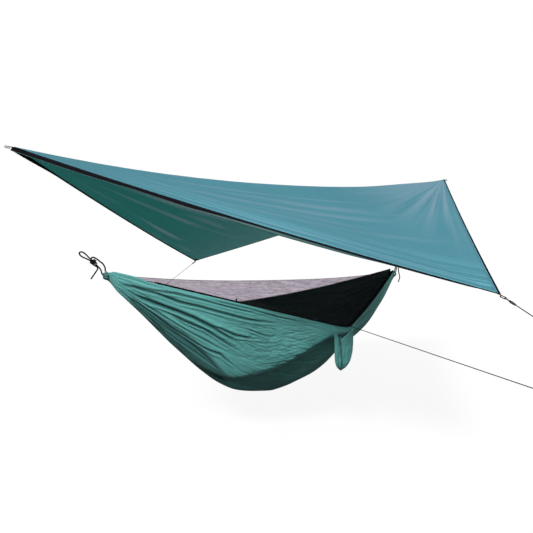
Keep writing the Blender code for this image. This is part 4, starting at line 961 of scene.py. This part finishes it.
def sleeve(name, face_x, direction, centre_z, node_name, neck=1.0):
    """The gathered end hem: many small pleats drawn tight round the rope."""
    radius, length, neck_start = 0.0325 * neck, 0.0245, 0.9

    def place(s, t):
        angle = 2 * math.pi * t
        pleat = 0.10 * math.cos(9 * angle) + 0.06 * wander(math.cos(angle) * 3, math.sin(angle) * 3, s)
        pinch = 1 - 0.32 * smooth(0.0, neck_start, s) - 0.5 * max(0, (s - neck_start) / 0.1) ** 1.5
        away = radius * (1 + pleat) * pinch
        x = face_x + direction * (GAP + CLOTH + length * min(s / neck_start, 1.0))
        return Vector((x, away * math.sin(angle), centre_z + away * math.cos(angle)))

    made = sheet(name, 20, 144, place, (0.05, 0.2), CLOTH, GATHERED_PAINTED_SHADE, loop=True)
    stand_for(made, "hammock", "hammock_cloth", node_name)


foot_centre = FOOT_RIM_Z + (keel_z(FOOT_X) - FOOT_RIM_Z) / 2 * FOOT_NECK + 0.003
sleeve("foot_gather", FOOT_X, -1, foot_centre, "foot_sleeve", FOOT_NECK)
sleeve("head_gather", HEAD_X, 1, (HEAD_RIM_Z + keel_z(HEAD_X)) / 2, "head_sleeve")


# Suspension ropes


def rope_axes(eye, knot):
    """The way from the eye to the knot, and the upward way across it."""
    direction = (knot - eye).normalized()
    across = direction.cross(ACROSS)
    return direction, across if across.z > 0 else -across


def strand_route(eye, knot):
    direction, across = rope_axes(eye, knot)
    half, wide, reach = ROPE_SPREAD / 2, EYE_HALF_WIDTH, (knot - eye).length
    table = ((reach + KNOT_STUB, half), (reach - KNOT_STUB, half), (mix(wide, reach - KNOT_STUB, 0.45), wide * 0.8),
             (wide * 1.6, wide), (wide * 0.3, wide * 0.8))
    return hairpin(eye, (direction, across), table, eye - direction * ROPE / 2, -1)


def coil(eye, knot):
    """Turns of the lashing round both strands."""
    direction, across = rope_axes(eye, knot)
    radius, points = ROPE_SPREAD / 2 + ROPE + KNOT_CLEARANCE, []
    for i in range(int(TURN_POINTS * LASHING_TURNS) + 1):
        turn = i / TURN_POINTS
        angle, along = math.pi / 2 + 2 * math.pi * turn, KNOT_PITCH * (turn - LASHING_TURNS / 2)
        points.append(knot + direction * along + (ACROSS * math.sin(angle) + across * math.cos(angle)) * radius)
    return points


def crossing(eye, knot):
    """The lashing's way over its own turns, from the loose leg to the first turn."""
    direction, across = rope_axes(eye, knot)
    radius, half = ROPE_SPREAD / 2 + 2 * (ROPE + KNOT_CLEARANCE), KNOT_PITCH * LASHING_TURNS / 2
    return [
        knot + direction * (half + ROPE) + across * (radius + KNOT_CLEARANCE),
        knot + across * (radius + KNOT_CLEARANCE),
        knot - direction * (half + KNOT_PITCH * 0.4) + across * radius * 0.93,
        knot - direction * (half + KNOT_PITCH * 0.9) + across * radius * 0.55 + ACROSS * radius * 0.45,
    ]


# Of each end: eye, knot, the strand on to the sleeve, the lashing's loose leg from the sleeve, and its tail
ROPES = {
    "foot": (
        Vector((0.0, 0.0, 0.0)),
        Vector((0.079, 0.0, -0.059)),
        ((0.107, -0.001, -0.0905), (0.1205, -0.003, -0.107), (0.1265, -0.005, -0.1240), (0.1292, -0.006, -0.1365),
         (0.1335, -0.006, -0.1430), (0.1377, -0.006, -0.1430)),
        ((0.1520, 0.0, -0.1242), (0.1520, 0.0, -0.1170), (0.1510, 0.002, -0.0980), (0.1390, 0.003, -0.074),
         (0.1210, 0.002, -0.059)),
        ((0.0905, -0.0095, -0.0865), (0.1000, -0.0125, -0.0945), (0.1010, -0.0125, -0.1060),
         (0.0900, -0.0125, -0.1230), (0.0585, -0.0125, -0.1680)),
    ),
    "head": (
        Vector((3.035, 0.0, 0.0)),
        Vector((2.890, 0.0, -0.148)),
        ((2.8600, -0.003, -0.1800), (2.8440, -0.006, -0.2020), (2.8375, -0.008, -0.2200), (2.8340, -0.008, -0.2310),
         (2.8273, -0.008, -0.2310)),
        ((2.8273, 0.010, -0.2310), (2.8340, 0.010, -0.2310), (2.8390, 0.010, -0.2170), (2.8450, 0.009, -0.1960),
         (2.8560, 0.006, -0.1700)),
        ((2.8810, -0.0105, -0.1740), (2.8690, -0.0135, -0.1900), (2.8630, -0.0125, -0.2100),
         (2.8730, -0.0125, -0.2500), (2.8830, -0.0125, -0.2900), (2.8640, -0.0125, -0.3320)),
    ),
}
for prefix, (eye, knot, strand, loose, tail) in ROPES.items():
    points = smooth_path([Vector(p) for p in strand][::-1] + strand_route(eye, knot), 110)
    rope = tube(prefix + "_sling", points, ROPE, DARK_CORD)
    stand_for(rope, "hammock", "black_rope", prefix + "_rope")
    turns = coil(eye, knot)
    lead = smooth_path([Vector(p) for p in loose] + crossing(eye, knot) + turns[:1], 24)
    end = smooth_path(turns[-1:] + [Vector(p) for p in tail], 24)
    points_2 = smooth_path(lead[:-1] + turns + end[1:], 190)
    winding = tube(prefix + "_lashing", points_2, ROPE, DARK_CORD)
    stand_for(winding, "hammock", "black_rope", prefix + "_rope_knot")


# Side tie-outs


def side_loop_frame(side):
    """Where a rim's webbing loop starts, the way it points, and its inner side."""
    x = NEAR_CORNER.x if side < 0 else FAR_CORNER.x
    rim = rim_point(x, side)
    outward = (rim - section_point(x, SECTION_STEP if side < 0 else 1 - SECTION_STEP)).normalized()
    inward = (Vector((0.0, outward.z, -outward.y)) * -side).normalized()
    return rim - inward * (CLOTH / 2 + PATCH_CLEARANCE + GAP), outward, inward


for name, side, tape in (("near_side", -1, BLACK_TAPE), ("far_side", 1, PALE_TAPE)):
    strap = webbing_loop("strap_" + name, *side_loop_frame(side), tape)
    stand_for(strap, "hammock", "black_tape", name + "_loop")
origin, outward, inward = side_loop_frame(-1)
back = LOOP_HEIGHT - LOOP_WALL - CORD_CLEARANCE - EYE_CORD / 2
centre = origin + outward * LOOP_LENGTH / 2 - inward * back
guyline("side_guy", "side_guyline", centre, -inward, outward.cross(inward), guy_direction(-1, 0.072), 1.27,
        DARK_CORD, "black_rope")


# Mosquito net and zip


def ridge_cord_point(x):
    share = length_share(x)
    sag = RIDGE_CORD_SAG * (1 - abs(2 * share - 1) ** 2.5)
    return Vector((x, 0.0, mix(RIDGE_CORD_FOOT_Z, RIDGE_CORD_HEAD_Z, share) - sag))


ridge_points = [ridge_cord_point(mix(FOOT_X - CLOTH / 2, HEAD_X + CLOTH / 2, i / 59)) for i in range(60)]
ridge_cord = tube("net_ridge_line", ridge_points, RIDGE_CORD, DARK_CORD)
stand_for(ridge_cord, "hammock", "black_rope", "net_ridge_cord")


def edge_point(x, side, width):
    """A place in a rim's edging, that far from the rim, as it slopes inward and up."""
    rise = Vector((0.0, -side, 0.3)).normalized()
    return rim_point(x, side) + UP * EDGING_LIFT + rise * width


def edge_x(row, side):
    return row_x(row, 0.0 if side < 0 else 1.0)


def edging(name, side, first, last, width, tape, node_name):
    """A tape along a rim, from one row to another."""

    def place(s, t):
        return edge_point(edge_x(mix(first, last, s), side), side, width * t)

    made = sheet(name, 120, 4, place, (2.4, width), TAPE, tape)
    stand_for(made, "hammock", "black_tape", node_name)


def net_panel(name, body, side, first, last, width, flat, node_name):
    """A net panel from its edging up to the ridge cord, hanging in small soft folds."""
    beside = side * (RIDGE_CORD / 2 + GAP + NET / 2)

    def place(s, t):
        x = edge_x(mix(first, last, s), side) + GAP * (1 - 2 * s)
        point = edge_point(x, side, width).lerp(ridge_cord_point(x) + ACROSS * beside, t)
        point.z -= 0.010 * (1 + wander(x * 5.0, t * 2.0, 9.0 * side)) * arch(t)
        return point

    made = sheet(name, 90, 16, place, flat, 0.0005, NET_CLOTH)
    stand_for(made, body, "black_net", node_name)


edging("zip_band", -1, 3, 18, ZIP_WIDTH, BLACK_TAPE, "zip_tape")
edging("far_band", 1, 1, 19, BINDING_WIDTH, GREY_TAPE, "net_binding")
net_panel("net_door_mesh", "door", -1, 3, 18, ZIP_WIDTH + 2 * GAP, (2.3, 0.62), "net_door")
net_panel("net_far_mesh", "hammock", 1, 1, 19, BINDING_WIDTH + 2 * GAP, (2.7, 0.72), "net_far_panel")
net_panel("net_foot_mesh", "hammock", -1, 1, 3, 0.0, (0.22, 0.17), "net_foot_gusset")
net_panel("net_head_mesh", "hammock", -1, 18, 19, 0.0, (0.15, 0.17), "net_head_gusset")


# Pouch

RUN = Vector((0.948, -0.318, 0.0)).normalized()
OUT = RUN.cross(UP)
MOUTH = NEAR_CORNER - RUN * 0.028 - UP * 0.016 + OUT * 0.013
# Which of the CAD's steps round the channel hold the drawcord's two holes
CORD_HOLES = (9, 10)
MOUTH_RISE, NOTCH_DEPTH, NOTCH_PLACE, NOTCH_RIGHT, NOTCH_LEFT = 0.026, 0.080, -0.28, 1.15, 0.55
POUCH_STATIONS = (0.0, 0.2, 0.5, 0.75, 0.9, 1.0)
CHANNEL_SHARE, BAG_START = CHANNEL_WIDTH / POUCH_HEIGHT, (CHANNEL_WIDTH + GAP) / POUCH_HEIGHT


def pouch_fold(share, angle):
    """Distance from the fold that runs down from the mouth's notch."""
    return math.cos(angle) + 0.42 - 0.45 * share**2


def pouch_point(share, angle, detail=0.0):
    """A point of the pouch: share runs down from its mouth, and the angle round it from its right edge."""
    width = interpolate(POUCH_STATIONS, (0.98, 1.0, 0.98, 0.84, 0.55, 0.06), share) * POUCH_HALF_WIDTH
    depth = interpolate(POUCH_STATIONS, (0.45, 0.75, 1.0, 0.85, 0.5, 0.06), share) * POUCH_HALF_DEPTH
    right, front = math.cos(angle), max(0.0, math.sin(angle))
    pull = max(0.0, -right) ** 2 * (1 - share) ** 6 * 0.028
    sideways = RUN * (width * right - 0.020 * share**2 - pull)
    spot = Vector((right * 2.6, share * 2.4, 5.0))
    wave = noise.noise(spot * 2.1) + 0.4 * noise.noise(spot * 5.5)
    seam = hump(pouch_fold(share, angle), 0.07) * smooth(0.15, 0.3, share)
    wave = detail * front**0.5 * (0.006 * wave * smooth(0.02, 0.2, share) - 0.008 * seam)
    fold = 1 + 0.07 * math.cos(7 * angle) * front
    point = MOUTH + sideways + OUT * (depth * (1 + math.sin(angle) * fold) + wave)
    away = right - NOTCH_PLACE
    away = away / NOTCH_RIGHT if away > 0 else -away / NOTCH_LEFT
    notch = front**0.8 * max(0.0, 1 - away) * NOTCH_DEPTH
    point.z += ((1 - right) / 2 * MOUTH_RISE - notch) * (1 - share) - POUCH_HEIGHT * share
    return point


def pouch_shade(share, angle):
    """Painted shade in the floor of the fold below the mouth's notch, along a line down the front's left part, and over
    the closed bottom.
    """
    if math.sin(angle) < 0:
        return 0.0
    fold = hump(pouch_fold(share, angle), 0.08) * smooth(0.1, 0.2, share) * 0.8
    side = hump(math.cos(angle) + 0.62, 0.09) * smooth(0.35, 0.6, share) * 0.35
    return max(fold, side, 0.7 * smooth(0.86, 0.97, share))


def hem_place(s, t):
    angle = 2 * math.pi * t
    return pouch_point(CHANNEL_SHARE * s, angle) + OUT * 0.0008 * math.sin(math.pi * s) * math.sin(angle)


bag = sheet("pouch_body", 60, 112, lambda s, t: pouch_point(mix(BAG_START, 1.0, s), 2 * math.pi * t, 1.0), (0.27, 0.37),
            0.0009, POUCH_OUT, POUCH_IN_PAINTED_SHADE, -RUN, True, lambda s, t: pouch_shade(mix(BAG_START, 1.0, s), 2 * math.pi * t))
stand_for(bag, "pouch", "hammock_cloth", "pouch_bag")
hem = sheet("pouch_hem", 5, 112, hem_place, (CHANNEL_WIDTH, 0.37), 0.001, CHANNEL, loop=True)
stand_for(hem, "pouch", "channel_cloth", "pouch_channel")


def hanger_place(s, t):
    """The strip sewn outside the hammock's edge, down to behind the back of the pouch's mouth."""
    x, share = mix(row_x(11, 0), row_x(12, 0), mix(0.1, 0.9, s)), mix(-0.9, 0.2, s)
    top = rim_point(x, -1).lerp(section_point(x, SECTION_STEP), 0.1)
    top += Vector((-0.318, -0.948, 0.05)) * (CLOTH + PATCH_CLEARANCE) * 1.2
    low = MOUTH - OUT * 0.0013 + RUN * POUCH_HALF_WIDTH * share
    low.z += (1 - share) / 2 * MOUTH_RISE - 0.005
    return top.lerp(low, t) + OUT * 0.0012 * math.sin(math.pi * t) * wander(s * 6, t, 2.0)


hanger = sheet("pouch_flap", 40, 10, hanger_place, (0.13, 0.03), 0.0009, POUCH_OUT)
stand_for(hanger, "hammock", "hammock_cloth", "pouch_hanger")


def drawcord_points():
    """Out of both holes of the channel, through the lock and down to a loop."""
    ends = [2 * math.pi * k * SECTION_STEP for k in CORD_HOLES]
    right, left = [(pouch_point(0.0, a) + pouch_point(CHANNEL_SHARE, a)) / 2 for a in ends]
    along = right - left
    along.z = 0.0
    along.normalize()
    outward = along.cross(UP)
    start = (left + right) / 2 + outward * (0.0005 + GAP * 2)
    half, down, out = along * 0.0023, UP * -0.082, outward * 0.0155
    table = ((0, 0, 1), (1 / 3, 0, 1), (0.8, 0.06, 1), (1, 0.18, 1), (1, 0.4, 1), (1, 0.78, 1), (1, 0.93, 1.2))
    return smooth_path(hairpin(start, (out, down, half), table, start + out + down, -1), 70)


draw_points = drawcord_points()
drawcord = tube("pouch_string", draw_points, DRAWCORD, DARK_CORD)
stand_for(drawcord, "pouch", "black_rope", "pouch_drawcord")

for name in ("near_guy_tensioner", "far_guy_tensioner", "zip_slider", "zip_pull", "pouch_cord_lock"):
    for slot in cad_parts[name].material_slots:
        slot.material = PLASTIC


# Floor and light

FLOOR_Z, FLOOR_HALF = -1.45, 60


def floor_material():
    """White to the camera with the soft shadow kept, and a dim bounce to the rest."""
    g = Surface("pale_floor", (0.9, 0.9, 0.9), 0.9)
    seen = g.add("LightPath", {}, "Is Camera Ray")
    g.set(Base_Color=g.tint(seen, (0.04, 0.04, 0.04), (0.9, 0.9, 0.9)))
    g.show(seen * 0.9, g.shader, g.add("Emission", {"Color": (1.0, 1.0, 1.0), "Strength": 1.0}))
    return g.material


floor_mesh = bpy.data.meshes.new("floor")
square = [(x * FLOOR_HALF, y * FLOOR_HALF, FLOOR_Z) for x, y in ((-1, -1), (1, -1), (1, 1), (-1, 1))]
floor_mesh.from_pydata(square, [], [(0, 1, 2, 3)])
floor_mesh.materials.append(floor_material())
floor = link(bpy.data.objects.new("floor", floor_mesh))

# A white world to the camera, and for light a soft one that is brightest above the near left
world = bpy.data.worlds.new("studio")
world.use_nodes = True
sky = Graph(world.node_tree)
seen = sky.add("LightPath", {}, "Is Camera Ray").larger(sky.add("LightPath", {}, "Is Transmission Ray"))
towards = {0: sky.coordinate("Generated"), 1: (-0.66, -0.42, 0.62)}
soft = sky.add("VectorMath", towards, "Value", operation="DOT_PRODUCT").ramp(-0.15, 1.0) * 0.68 + 0.10
background = world.node_tree.nodes["Background"]
sky.put(background.inputs["Strength"], seen.larger(soft))
sky.put(background.inputs["Color"], (1.0, 1.0, 1.0))
bpy.context.scene.world = world


def sun(name, towards, strength, spread):
    light = bpy.data.lights.new(name, "SUN")
    light.energy, light.angle = strength, math.radians(spread)
    made = link(bpy.data.objects.new(name, light))
    made.rotation_euler = Vector(towards).to_track_quat("-Z", "Y").to_euler()


sun("key", (0.60, 0.48, -0.64), 3.7, 12)
sun("fill", (-0.80, 0.50, -0.30), 0.9, 40)
